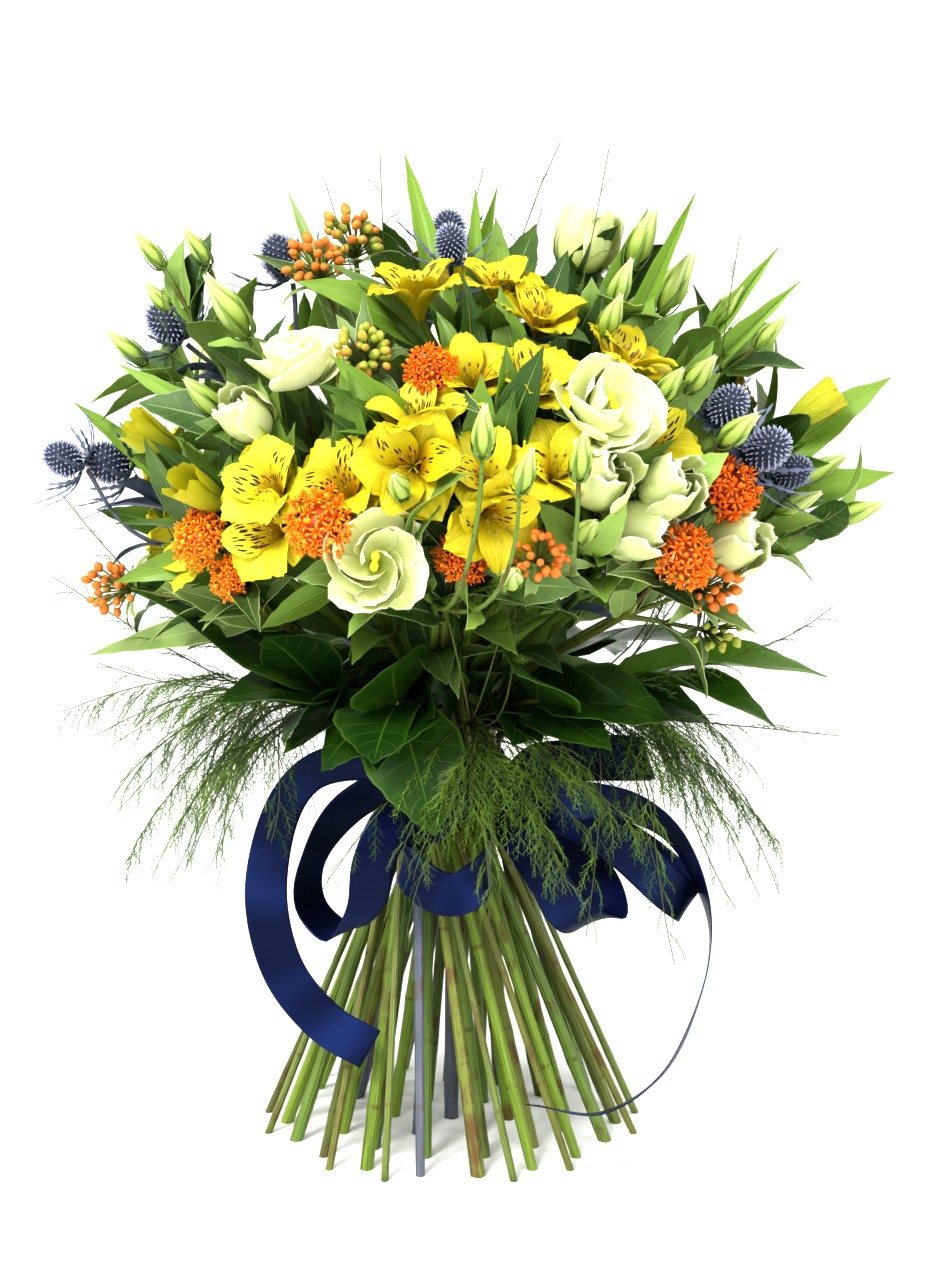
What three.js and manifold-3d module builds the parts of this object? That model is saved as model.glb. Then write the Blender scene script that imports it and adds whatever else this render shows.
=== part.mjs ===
// A hand-tied mixed bouquet that stands on its own splayed, cut stems.
// Millimetres, +Z up, +X to the viewer's right, -Y towards the viewer. The origin is the
// middle stem's cut end, on the surface the bouquet stands on.
import * as THREE from "three";
import { mergeVertices } from "three/addons/utils/BufferGeometryUtils.js";
import Module from "manifold-3d";

const wasm = await Module();
wasm.setup();

// Gap between neighbouring pieces
const GAP = 0.35;

// The tie: its height, and how far the stems turn about the bunch below and above it
const TIE_HEIGHT = 232;
const TURN_BELOW = 60;
const TURN_ABOVE = 25;

// Rings of stems: how many places, the ring's radius at the tie and at the cut ends, where the
// first place lies, and how thick the stems are where they are tied
const RINGS = [
  { places: 1, radius: 0, foot: 0, first: 0, tied: 3.15 },
  { places: 6, radius: 6.9, foot: 36, first: 0, tied: 3.5 },
  { places: 13, radius: 14.2, foot: 72, first: -0.5, tied: 3.15 },
  { places: 19, radius: 21.7, foot: 103, first: 0, tied: 3.15 },
  { places: 19, radius: 28.4, foot: 116, first: 0.5, tied: 2 },
];
const STEM_RADIUS = 2.7;
const THIN_STEM_RADIUS = 2;
const FOOT_RADIUS = [2.6, 4.4];

// The dome that the heads lie on: its centre, its reach sideways, upwards and downwards
const DOME = { x: 5, z: 385, side: 205, up: 165, down: 130 };
const FORK_AT = 0.72;
const COLLAR_FORK = { salal: { reach: 98, height: 280 }, fern: { reach: 80, height: 266 } };

// Head sizes: widths and heights of the true blooms
const BUD = { radius: 5.8, height: 25 };
const CLUSTER_RADIUS = 20;
const FROND = { rib: 1.2, twig: 46, swell: 0.8 };

const LEAF_GREEN = 0x4f7a2c;
const FERN_GREEN = 0x6f8f3e;
const YELLOW = 0xf2d32a;
const CREAM = 0xeef0cf;
const ORANGE = 0xf06a1c;
const BLUE_GREY = 0x6d7c96;
const NAVY = 0x182a5e;

// Flowering stems. Each head is [form, azimuth, elevation, reach, size] on the dome, azimuth
// 0 at the front and growing to the right; two more numbers turn its face another way.
const FLOWERING = [
  { name: "sea_holly_left", kind: "holly", ring: 3, place: -5,
    heads: [["thistle", -83, 9, 1.02, 1], ["thistle", -82, 9, 1.15, 0.9]] },
  { name: "milkweed_left", kind: "milkweed", ring: 3, place: -4,
    heads: [["cluster", -46, -2, 0.98, 0.8], ["berries", -76, -17, 1.1, 1], ["cluster", -42, -12, 0.95, 0.6]] },
  { name: "alstroemeria_left", kind: "alstroemeria", ring: 3, place: -3,
    heads: [["tube", -64, 17, 1, 1], ["tube", -45, 8, 1, 1], ["lily", -52, -6, 0.94, 0.85]] },
  { name: "alstroemeria_front_left", kind: "alstroemeria", ring: 3, place: -2,
    heads: [["lily", -31, 10, 1, 1, -25, 25], ["lily", -32, 0, 0.97, 1, -30, 0], ["lily", -18, 11, 1, 1]] },
  { name: "lisianthus_front", kind: "lisianthus", ring: 3, place: -1,
    heads: [["rose", -13, -4, 1.02, 1.12, 2, 12], ["bud", -8, 10, 1.08, 1], ["bud", 8, -8, 1.02, 1.1]] },
  { name: "milkweed_front", kind: "milkweed", ring: 3, place: 0,
    heads: [["cluster", -22, 1, 1, 0.95], ["cluster", 1, -4, 0.9, 0.75], ["berries", 13, -3, 1, 0.9]] },
  { name: "alstroemeria_front", kind: "alstroemeria", ring: 3, place: 1,
    heads: [["lily", 6, 3, 0.98, 1, 20, -15], ["lily", 5, 14, 0.97, 0.9], ["lily", 17, 15, 0.97, 1]] },
  { name: "lisianthus_front_right", kind: "lisianthus", ring: 3, place: 2,
    heads: [["cup", 31, 0, 0.95, 1.05, 60, 0], ["cup", 50, -4, 1, 1], ["bud", 19, 2, 1.02, 1]] },
  { name: "milkweed_right", kind: "milkweed", ring: 3, place: 3,
    heads: [["cluster", 37, -5, 1.02, 0.85], ["cluster", 50, 8, 0.98, 0.95], ["berries", 47, -14, 1, 1],
      ["berries", 58, -28, 1, 0.9]] },
  { name: "lisianthus_right", kind: "lisianthus", ring: 3, place: 4,
    heads: [["bud", 69, 3, 1.02, 1], ["bud", 82, 8, 1.06, 1.2], ["bud", 80, 0, 1.16, 1.1],
      ["bud", 88, -4, 1.08, 1]] },
  { name: "alstroemeria_right", kind: "alstroemeria", ring: 3, place: 5,
    heads: [["tube", 84, 20, 1.12, 1], ["tube", 98, 12, 1, 1]] },
  { name: "milkweed_back_right", kind: "milkweed", ring: 3, place: 6,
    heads: [["cluster", 110, 6, 1, 1], ["bud", 120, -6, 1, 0.9]] },
  { name: "lisianthus_back_right", kind: "lisianthus", ring: 3, place: 7,
    heads: [["rose", 133, 4, 1, 1], ["bud", 144, 15, 1.04, 1]] },
  { name: "alstroemeria_back_right", kind: "alstroemeria", ring: 3, place: 8,
    heads: [["lily", 151, 0, 1, 1], ["lily", 162, 10, 1, 1]] },
  { name: "milkweed_back", kind: "milkweed", ring: 3, place: 9,
    heads: [["cluster", 174, -5, 1, 0.95], ["berries", 184, 8, 1.02, 1]] },
  { name: "alstroemeria_back_left", kind: "alstroemeria", ring: 3, place: 10,
    heads: [["lily", 190, 8, 0.97, 1], ["lily", 198, -4, 1, 1]] },
  { name: "lisianthus_back_left", kind: "lisianthus", ring: 3, place: 11,
    heads: [["rose", 212, 4, 1, 1], ["cup", 221, 15, 1, 0.9]] },
  { name: "milkweed_back_left", kind: "milkweed", ring: 3, place: 12,
    heads: [["cluster", 235, 2, 1, 1]] },
  { name: "alstroemeria_far_left", kind: "alstroemeria", ring: 3, place: 13,
    heads: [["lily", 250, 8, 0.98, 0.95], ["lily", 246, -8, 1, 1]] },
  { name: "lisianthus_high_left", kind: "lisianthus", ring: 2, place: -3,
    heads: [["bud", -82, 46, 1.28, 0.9], ["bud", -82, 51, 1.2, 0.9], ["bud", -84, 41, 1.15, 0.8],
      ["bud", -84, 31, 1.12, 1]] },
  { name: "lisianthus_left", kind: "lisianthus", ring: 2, place: -2,
    heads: [["bud", -57, 44, 1.05, 1.5], ["rose", -31, 36, 1.02, 1, -40, 70], ["bud", -47, 25, 1.02, 1.2],
      ["cup", -37, 23, 1.02, 0.85]] },
  { name: "milkweed_high", kind: "milkweed", ring: 2, place: -1,
    heads: [["cluster", -5, 34, 0.98, 0.7], ["berries", -18, 37, 1.02, 1]] },
  { name: "alstroemeria_middle", kind: "alstroemeria", ring: 2, place: 0,
    heads: [["lily", -7, 14, 1.02, 1.1, -6, 8], ["lily", -7, 26, 1, 1, -15, 65], ["lily", 3, 35, 0.95, 0.9]] },
  { name: "alstroemeria_upper", kind: "alstroemeria", ring: 2, place: 1,
    heads: [["lily", 16, 33, 0.97, 0.9], ["lily", 36, 37, 1, 1, 60, 60], ["lily", 37, 20, 0.95, 1]] },
  { name: "lisianthus_middle_right", kind: "lisianthus", ring: 2, place: 2,
    heads: [["rose", 25, 25, 1.02, 1.1], ["cup", 23, 11, 1.02, 1], ["cup", 34, 9, 1.03, 1],
      ["bud", 36, 27, 1.06, 1], ["bud", 44, 29, 1.06, 1], ["bud", 47, 18, 1.07, 1.1]] },
  { name: "sea_holly_right", kind: "holly", ring: 2, place: 3,
    heads: [["thistle", 50, 23, 1.02, 0.9], ["thistle", 55, 14, 1.04, 1], ["thistle", 66, 9, 1.02, 0.8]] },
  { name: "lisianthus_high_right", kind: "lisianthus", ring: 2, place: 4,
    heads: [["bud", 86, 43, 1.06, 1], ["bud", 84, 52, 1.02, 1.4], ["bud", 84, 35, 1.1, 0.9]] },
  { name: "alstroemeria_high_right", kind: "alstroemeria", ring: 2, place: 5,
    heads: [["lily", 122, 30, 1, 1], ["lily", 110, 26, 0.98, 0.9]] },
  { name: "sea_holly_back", kind: "holly", ring: 2, place: 6,
    heads: [["thistle", 155, 31, 1.04, 1]] },
  { name: "lisianthus_high_back", kind: "lisianthus", ring: 2, place: 7,
    heads: [["rose", 182, 28, 1, 1], ["bud", 172, 38, 1.05, 1]] },
  { name: "alstroemeria_high_back", kind: "alstroemeria", ring: 2, place: 8,
    heads: [["lily", 206, 30, 1, 1], ["lily", 218, 34, 1, 0.9]] },
  { name: "lisianthus_high_far_left", kind: "lisianthus", ring: 2, place: 9,
    heads: [["cup", 238, 30, 1.02, 1], ["bud", 248, 24, 1.05, 1]] },
  { name: "milkweed_top_left", kind: "milkweed", ring: 1, place: -1,
    heads: [["berries", -78, 72, 1.06, 1.1], ["berries", -58, 62, 1.04, 1]] },
  { name: "alstroemeria_top", kind: "alstroemeria", ring: 1, place: 0,
    heads: [["lily", -12, 57, 1, 1, -20, 75], ["lily", 14, 60, 0.98, 0.85], ["lily", 22, 50, 0.97, 0.9]] },
  { name: "lisianthus_top_right", kind: "lisianthus", ring: 1, place: 1,
    heads: [["cup", 82, 69, 1.06, 1.1], ["bud", 80, 61, 1.1, 1.3], ["bud", 45, 52, 1.02, 1.1],
      ["bud", 33, 43, 1.03, 1]] },
  { name: "lisianthus_top_back", kind: "lisianthus", ring: 1, place: 2,
    heads: [["cup", 120, 52, 1, 1], ["bud", 104, 58, 1.04, 1]] },
  { name: "alstroemeria_top_back", kind: "alstroemeria", ring: 1, place: 3,
    heads: [["lily", 176, 56, 1, 1], ["lily", 200, 64, 0.98, 0.9]] },
  { name: "sea_holly_high_left", kind: "holly", ring: 1, place: 4,
    heads: [["thistle", -86, 38, 1.06, 1], ["thistle", -88, 60, 1.02, 1]] },
  { name: "sea_holly_top", kind: "holly", ring: 0, place: 0,
    heads: [["thistle", -4, 72, 0.98, 0.8], ["thistle", 190, 80, 1, 0.9]] },
];

// Stems of the collar: salal with its broad leaves, and asparagus fern. A salal leaf or a
// fern frond is given by its tip, [x, y, z], and its width or its number of twigs.
const COLLAR = [
  { name: "fern_left", kind: "fern", place: -4, az: -68,
    tips: [[-200, -10, 165, 8], [-165, -60, 190, 6], [-235, -20, 262, 8]] },
  { name: "salal_left", kind: "salal", place: -3, az: -48,
    tips: [[-132, -92, 280, 27], [-205, -30, 345, 22], [-104, -112, 322, 20]] },
  { name: "salal_front", kind: "salal", place: -1, az: -18,
    tips: [[-42, -138, 254, 27], [-74, -92, 240, 25], [-8, -128, 210, 26], [-28, -140, 312, 24]] },
  { name: "fern_front", kind: "fern", place: 0, az: 8,
    tips: [[62, -131, 191, 8], [110, -111, 204, 6], [12, -149, 226, 6]] },
  { name: "salal_right", kind: "salal", place: 2, az: 32,
    tips: [[38, -150, 306, 26], [128, -82, 268, 25]] },
  { name: "fern_right", kind: "fern", place: 3, az: 60,
    tips: [[198, -40, 185, 8], [160, -80, 205, 8]] },
  { name: "salal_far_right", kind: "salal", place: 4, az: 76,
    tips: [[228, -10, 282, 25], [190, -70, 262, 22]] },
  { name: "fern_back_right", kind: "fern", place: 6, az: 112,
    tips: [[195, 95, 200, 6], [150, 150, 180, 4]] },
  { name: "salal_back_right", kind: "salal", place: 7, az: 138,
    tips: [[180, 130, 275, 26], [110, 165, 268, 25]] },
  { name: "salal_back", kind: "salal", place: 9, az: 168,
    tips: [[50, 205, 272, 26], [-10, 190, 245, 25]] },
  { name: "fern_back", kind: "fern", place: 10, az: 192,
    tips: [[-60, 200, 185, 6], [5, 215, 195, 4]] },
  { name: "salal_back_left", kind: "salal", place: 12, az: 225,
    tips: [[-110, 170, 262, 26], [-175, 125, 278, 25]] },
  { name: "fern_far_left", kind: "fern", place: 13, az: 250,
    tips: [[-212, 76, 192, 6], [-146, 146, 183, 4]] },
];

// Leaves that stand out of the outline: the stem they grow on, the tip, the half width
const LONG_LEAVES = [
  ["alstroemeria_right", [264, 0, 462], 15],
  ["alstroemeria_right", [268, 2, 405], 12.5],
  ["alstroemeria_upper", [146, 0, 572], 6],
  ["lisianthus_high_right", [196, 0, 540], 7],
  ["lisianthus_high_right", [209, -4, 520], 7],
  ["alstroemeria_top", [-27, 0, 594], 8],
  ["milkweed_top_left", [-98, 20, 573], 8],
  ["alstroemeria_top", [15, -5, 574], 6],
  ["alstroemeria_top_back", [28, 5, 575], 6.5],
  ["lisianthus_top_right", [118, 0, 563], 8],
  ["lisianthus_left", [-102, -90, 452], 12],
  ["alstroemeria_left", [-152, -90, 431], 9],
  ["lisianthus_left", [-190, -60, 472], 9],
  ["alstroemeria_left", [-226, 0, 447], 8],
  ["alstroemeria_middle", [30, -122, 472], 8],
  ["milkweed_left", [-162, -110, 350], 12],
  ["alstroemeria_front_left", [-105, -125, 328], 8],
  ["milkweed_right", [100, -125, 365], 8],
  ["milkweed_left", [-219, -10, 295], 9],
  ["milkweed_right", [112, -100, 405], 14],
];

// The ribbon: a band round the tie, its knot at the front, five loops and two tails
const RIBBON = { width: 25, thick: 0.8, gathered: 0.3 };
const BAND = [[36, 209], [31.5, 234]];
const KNOT = { x: 22.5, y: -36.8, z: 216, radius: 9.5 };

// A loop or tail: the direction in which it leaves the knot, then the places of its middle
// line and the directions across it there; a loop's last direction leads back to the knot
const STRIPS = [
  { name: "ribbon_loop_left", out: [-1, -0.4, 0.45], back: [-1, -0.6, -0.05],
    places: [[-22, -58, 229], [-60, -50, 210], [-82, -46, 176], [-83, -52, 150], [-64, -68, 137],
      [-49, -82, 158], [-44, -84, 186], [-28, -72, 210]],
    across: [[0, -0.4, 0.9], [-0.6, -0.5, 0.6], [-0.6, -0.8, 0], [-0.65, -0.7, -0.1], [-0.8, -0.5, -0.25],
      [-0.9, -0.3, -0.2], [-1, -0.15, 0], [-0.9, -0.2, 0.4]] },
  { name: "ribbon_loop_centre", out: [-0.7, -0.6, -0.5], back: [-0.1, -0.7, -0.8],
    places: [[-16, -60, 200], [-28, -76, 185], [-10, -96, 171], [8, -98, 170], [22, -84, 184]],
    across: [[0, 0.2, 1], [0, 0.25, 1], [0, 0.25, 1], [0, 0.25, 1], [0, 0.2, 1]] },
  { name: "ribbon_loop_right", out: [0.45, -0.8, -0.5], back: [0.5, -0.1, -0.9],
    places: [[41, -72, 198], [57, -90, 175], [73, -88, 152], [92, -70, 149], [87, -56, 167], [65, -48, 188]],
    across: [[0.77, -0.2, 0.55], [0.77, -0.2, 0.55], [0.95, 0.1, 0.2], [0.9, 0.3, 0.2], [0.85, 0.2, 0.45],
      [0.8, 0.1, 0.55]] },
  { name: "ribbon_loop_far_right", out: [0.9, -0.7, -0.05], back: [0.95, -0.1, -0.4],
    places: [[65, -66, 210], [99, -78, 193], [128, -74, 166], [143, -58, 153], [130, -48, 168], [96, -40, 190]],
    across: [[0.25, 0, 0.95], [0.5, 0, 0.85], [0.57, -0.1, 0.82], [0.57, 0.2, 0.8], [0.57, 0.1, 0.82],
      [0.4, 0, 0.9]] },
  { name: "ribbon_loop_upper", out: [0.85, -0.3, 0.5], back: [0.7, 0.15, 0.75],
    places: [[59, -60, 236], [91, -62, 243], [116, -50, 239], [114, -30, 234], [84, -24, 233], [52, -30, 232]],
    across: [[0, 0.1, 1], [0, 0.1, 1], [-0.25, 0, 1], [-0.25, 0, 1], [0, 0.1, 1], [0, 0.1, 1]] },
  { name: "ribbon_tail_left", out: [-0.6, 0, 0.85],
    places: [[-29, -66, 239], [-64, -72, 241], [-87, -76, 230], [-102, -78, 202], [-108, -78, 160],
      [-98, -80, 118], [-74, -84, 88], [-47, -86, 72]],
    across: [[-0.1, -0.2, 1], [-0.3, -0.4, 0.9], [-0.6, -0.5, 0.6], [-0.9, -0.4, 0.2], [-1, -0.2, 0],
      [-0.95, -0.2, -0.25], [-0.65, -0.2, -0.75], [-0.6, -0.1, -0.8]] },
  { name: "ribbon_tail_right", out: [0.9, -0.65, 0.4],
    places: [[71, -84, 222], [109, -84, 215], [138, -74, 188], [154, -66, 139], [145, -76, 93], [123, -98, 59],
      [87, -118, 44], [47, -128, 53]],
    across: [[0, -0.3, 1], [0.3, -0.6, 0.75], [0.3, -0.9, 0.3], [-0.09, -0.96, 0.26], [-0.08, -0.95, 0.3],
      [-0.08, -0.95, 0.31], [-0.05, -0.95, 0.33], [-0.02, -0.94, 0.34]] },
];

function radians(degrees) {
  return (degrees * Math.PI) / 180;
}

// A repeatable draw between 0 and 1
let drawn = 7;
function draw() {
  drawn = (drawn * 16807) % 2147483647;
  return drawn / 2147483647;
}

function onDome(azimuth, elevation, reach) {
  const a = radians(azimuth);
  const e = radians(elevation);
  const rise = elevation > 0 ? DOME.up : DOME.down;
  const out = Math.cos(e) * DOME.side * reach;
  return new THREE.Vector3(out * Math.sin(a) + DOME.x, -out * Math.cos(a), DOME.z + Math.sin(e) * rise * reach);
}

function heading(azimuth, elevation) {
  const a = radians(azimuth);
  const e = radians(elevation);
  return new THREE.Vector3(Math.cos(e) * Math.sin(a), -Math.cos(e) * Math.cos(a), Math.sin(e));
}

// Keeps a geometry's places and faces only, joins its shared corners, drops flat faces
function bare(geometry) {
  geometry.deleteAttribute("normal");
  geometry.deleteAttribute("uv");
  const joined = mergeVertices(geometry, 1e-4);
  const index = joined.getIndex().array;
  const kept = [];
  for (let i = 0; i < index.length; i += 3) {
    const [a, b, c] = [index[i], index[i + 1], index[i + 2]];
    if (a !== b && b !== c && c !== a) kept.push(a, b, c);
  }
  joined.setIndex(kept);
  return joined;
}

// Moves every corner of a geometry by a rule
function shaped(geometry, rule) {
  const places = geometry.getAttribute("position");
  const corner = new THREE.Vector3();
  for (let i = 0; i < places.count; i++) {
    corner.fromBufferAttribute(places, i);
    const moved = rule(corner);
    places.setXYZ(i, moved.x, moved.y, moved.z);
  }
  return outward(geometry);
}

// Turns every face round if the closed form is inside out
function outward(geometry) {
  const places = geometry.getAttribute("position");
  const index = Array.from(geometry.getIndex().array);
  const [a, b, c] = [new THREE.Vector3(), new THREE.Vector3(), new THREE.Vector3()];
  let volume = 0;
  for (let i = 0; i < index.length; i += 3) {
    a.fromBufferAttribute(places, index[i]);
    b.fromBufferAttribute(places, index[i + 1]);
    c.fromBufferAttribute(places, index[i + 2]);
    volume += a.dot(b.cross(c));
  }
  if (volume < 0) geometry.setIndex(index.reverse());
  return geometry;
}

function solidOf(geometry) {
  return new wasm.Manifold(new wasm.Mesh({
    numProp: 3,
    vertProperties: new Float32Array(geometry.getAttribute("position").array),
    triVerts: new Uint32Array(geometry.getIndex().array),
  }));
}

// The largest connected body of a solid, as a geometry
function mainBody(solid) {
  const mesh = solid.getMesh();
  const parent = Array.from({ length: mesh.numVert }, (_, i) => i);
  const root = (i) => {
    while (parent[i] !== i) i = parent[i] = parent[parent[i]];
    return i;
  };
  const faces = mesh.triVerts;
  for (let i = 0; i < faces.length; i += 3) {
    parent[root(faces[i])] = root(faces[i + 1]);
    parent[root(faces[i + 2])] = root(faces[i + 1]);
  }
  const tally = new Map();
  for (let i = 0; i < faces.length; i += 3) tally.set(root(faces[i]), (tally.get(root(faces[i])) ?? 0) + 1);
  const largest = [...tally].sort((a, b) => b[1] - a[1])[0][0];
  const kept = [];
  for (let i = 0; i < faces.length; i += 3) {
    if (root(faces[i]) === largest) kept.push(faces[i], faces[i + 1], faces[i + 2]);
  }
  const geometry = new THREE.BufferGeometry();
  geometry.setAttribute("position", new THREE.BufferAttribute(new Float32Array(mesh.vertProperties), 3));
  geometry.setIndex(kept);
  return mergeVertices(geometry, 1e-4);
}

// A tapered tube through a row of points, pointed where its radius is nothing. With a
// direction for its corners its first ring lies level, as a cut end does.
function tube(points, radii, sides, corner) {
  const rows = points.length - 1;
  const geometry = bare(new THREE.CylinderGeometry(1, 1, rows, sides, rows));
  const across = [];
  let side = corner ?? new THREE.Vector3(1, 0.2, 0);
  for (let i = 0; i <= rows; i++) {
    const ahead = points[Math.min(i + 1, rows)].clone().sub(points[Math.max(i - 1, 0)]).normalize();
    if (corner && i === 0) ahead.set(0, 0, 1);
    side = side.clone().addScaledVector(ahead, -side.dot(ahead)).normalize();
    across.push([side, side.clone().cross(ahead)]);
  }
  return bare(shaped(geometry, (v) => {
    const row = Math.round(v.y + rows / 2);
    const [u, w] = across[row];
    return points[row].clone().addScaledVector(u, v.x * radii[row]).addScaledVector(w, v.z * radii[row]);
  }));
}

// A thin pointed blade between two points. Its half widths are listed from base to tip, it
// is thickest on its rib, folds up at the sides and bends away from its upper face.
function blade({ base, tip, up, widths, half, thick = 1.3, bend = 25, fold = 0.15, wave = 0 }) {
  const steps = widths.length - 1;
  const geometry = alikeFaces(bare(new THREE.SphereGeometry(1, 4, steps)));
  const chord = tip.clone().sub(base);
  const arc = radians(bend);
  const length = (chord.length() * (arc / 2)) / Math.sin(arc / 2);
  const ahead = chord.normalize();
  const face = up.clone().addScaledVector(ahead, -up.dot(ahead)).normalize();
  const side = ahead.clone().cross(face);
  const along0 = ahead.clone().multiplyScalar(Math.cos(arc / 2)).addScaledVector(face, Math.sin(arc / 2));
  const face0 = face.clone().multiplyScalar(Math.cos(arc / 2)).addScaledVector(ahead, -Math.sin(arc / 2));
  return shaped(geometry, (v) => {
    const theta = Math.acos(THREE.MathUtils.clamp(v.y, -1, 1));
    const row = steps - Math.round((theta / Math.PI) * steps);
    const u = row / steps;
    const turned = arc * u;
    const y = (length * Math.sin(turned)) / arc;
    const z = (-length * (1 - Math.cos(turned))) / arc;
    const ends = row === 0 || row === steps;
    const x = ends ? 0 : Math.round(v.x / Math.sin(theta)) * widths[row] * half;
    const h = ends ? 0 : Math.round(v.z / Math.sin(theta)) * (thick / 2) * (1.15 - 0.5 * u);
    const lift = Math.abs(x) * fold + (x === 0 ? 0 : wave * half * Math.cos(row * Math.PI));
    return base.clone()
      .addScaledVector(along0, y).addScaledVector(face0, z)
      .addScaledVector(side, x)
      .addScaledVector(along0, Math.sin(turned) * (h + lift)).addScaledVector(face0, Math.cos(turned) * (h + lift));
  });
}

// Splits the under faces of a thin form along the same diagonals as its upper faces, so that
// it stays equally thick where it twists
function alikeFaces(geometry) {
  const places = geometry.getAttribute("position");
  const index = Array.from(geometry.getIndex().array);
  const below = (i) => places.getZ(i) < 0.01;
  for (let i = 0; i + 5 < index.length; i += 3) {
    const [a, b, d] = [index[i], index[i + 1], index[i + 2]];
    const [b2, c, d2] = [index[i + 3], index[i + 4], index[i + 5]];
    if (b !== b2 || d !== d2 || ![a, b, c, d].every(below)) continue;
    index.splice(i, 6, a, b, c, a, c, d);
    i += 3;
  }
  geometry.setIndex(index);
  return geometry;
}

// Turns a form that was made standing on the origin, so that it stands at a point and looks
// along a direction
function stood(geometry, place, facing, spin = 0) {
  const turn = new THREE.Quaternion().setFromUnitVectors(new THREE.Vector3(0, 0, 1), facing.clone().normalize());
  const roll = new THREE.Quaternion().setFromAxisAngle(new THREE.Vector3(0, 0, 1), spin);
  geometry.applyQuaternion(turn.multiply(roll));
  geometry.translate(place.x, place.y, place.z);
  return geometry;
}

const LEAF_WIDTHS = [0, 1, 0.8, 0];
const BROAD_WIDTHS = [0, 0.85, 1, 0.66, 0];

// A closed shell of revolution with lobes. Each row is [radius, height] of the lobes' middles
// and then of the notches between them; a row without notches has a corner for each lobe only.
// The first and last rows lie on the axis.
function lobed(rows, lobes, lift = () => 0) {
  const last = rows.length - 1;
  const profile = rows.map((_, j) => new THREE.Vector2(j === 0 || j === last ? 0 : 1, j));
  const geometry = bare(new THREE.LatheGeometry(profile, lobes * 2));
  const form = shaped(geometry, (v) => {
    const row = Math.round(v.y);
    const column = Math.round((Math.atan2(v.x, v.z) * lobes) / Math.PI) + 2 * lobes;
    const [r, z, notchR, notchZ] = rows[row];
    if (row === 0 || row === last) return new THREE.Vector3(0, 0, z);
    const place = (j) => {
      const a = (j * Math.PI) / lobes;
      const height = j % 2 === 0 ? z + lift((j / 2) % lobes) * (r / 20) : notchZ;
      const radius = j % 2 === 0 ? r : notchR;
      return new THREE.Vector3(Math.cos(a) * radius, Math.sin(a) * radius, height);
    };
    return place(notchR === undefined && column % 2 ? column + 1 : column);
  });
  return outward(bare(form));
}

function scaled(rows, size) {
  return rows.map((row) => row.map((value) => value * size));
}

// A yellow lily-like bloom: six pointed tepals, three of them lifted above the others
function lily(size) {
  const rows = [[0, -3], [10, 9], [27, 23, 14.5, 19.5], [0, 5]];
  return lobed(scaled(rows, size), 6, (lobe) => (lobe % 2 ? 3.5 : -2.5));
}

// The same bloom before it opens: a green-yellow tube with three tips
function tubeBloom(size) {
  const rows = [[0, -2], [8, 16], [9.5, 33, 4.5, 27], [0, 21]];
  return lobed(scaled(rows, size), 3);
}

// A wide open white bloom: five petals, five more between and inside them, a closed heart
function rose(size) {
  const rows = [[0, -3], [17, 6], [28, 21, 23.5, 18], [13, 11], [14.5, 22, 18.5, 26.5], [6, 16], [0, 25]];
  return lobed(scaled(rows, size), 5);
}

// A half open bloom: a fluted cup with five ragged tips and a hollow mouth
function cup(size) {
  const rows = [[0, -3], [14, 18], [13, 38, 10.5, 31], [0, 25]];
  return lobed(scaled(rows, size), 5);
}

// A ball whose surface stands out in a point for each floret, bud or spine
function studded({ radius, height, columns, rows, relief, base }) {
  const geometry = bare(new THREE.SphereGeometry(1, columns, rows));
  geometry.rotateX(Math.PI / 2);
  return shaped(geometry, (v) => {
    const row = Math.round((Math.acos(THREE.MathUtils.clamp(v.z, -1, 1)) / Math.PI) * rows);
    const column = Math.round((Math.atan2(v.y, v.x) * columns) / (2 * Math.PI)) + columns;
    const pole = row % rows === 0;
    const raised = pole ? 1 : 1 + ((row + column) % 2 === 0 ? relief : -relief);
    const side = radius * raised;
    return new THREE.Vector3(v.x * side, v.y * side, base + ((1 + v.z * raised) * height) / 2);
  });
}

// A dense dome of star florets
function cluster(size) {
  return studded({
    radius: CLUSTER_RADIUS * size, height: CLUSTER_RADIUS * 1.55 * size, columns: 8, rows: 5,
    relief: 0.16, base: -1,
  });
}

// A tight bunch of round buds
function berries(size) {
  return studded({ radius: 15 * size, height: 29 * size, columns: 8, rows: 4, relief: 0.24, base: -1 });
}

// A sea holly head: a cone studded with spiny florets on a ruff of narrow bracts
function thistle(size) {
  const rows = [[0, -2], [31, 15, 5, 2], [9.5, 8], [9.5, 26, 13.5, 19], [0, 30]];
  return lobed(scaled(rows, size), 6, (lobe) => (lobe % 2 ? 2 : -1));
}

const FORMS = {
  lily: { make: lily, depth: 22, ball: 17 },
  tube: { make: tubeBloom, depth: 20, ball: 11 },
  rose: { make: rose, depth: 17, ball: 19 },
  cup: { make: cup, depth: 20, ball: 13 },
  bud: { depth: 13, ball: 6.5 },
  cluster: { make: cluster, depth: 15, ball: 17 },
  berries: { make: berries, depth: 17, ball: 14 },
  thistle: { make: thistle, depth: 14, ball: 12 },
};

// Room already taken, as balls, so that what comes later is bent clear of it
const taken = [];

function take(points, radius, owner) {
  for (const point of points) taken.push({ x: point.x, y: point.y, z: point.z, radius, owner });
}

function crowding(points, radius, owners) {
  let sum = 0;
  for (const ball of taken) {
    if (owners.includes(ball.owner)) continue;
    for (const point of points) {
      const apart = Math.hypot(point.x - ball.x, point.y - ball.y, point.z - ball.z);
      const lack = radius + ball.radius + 1 - apart;
      if (lack > 0) sum += lack * lack;
    }
  }
  return sum;
}

function alongLine(points, spacing) {
  const path = new THREE.CatmullRomCurve3(points, false, "centripetal");
  return path.getSpacedPoints(Math.max(2, Math.ceil(path.getLength() / spacing)));
}

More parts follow.
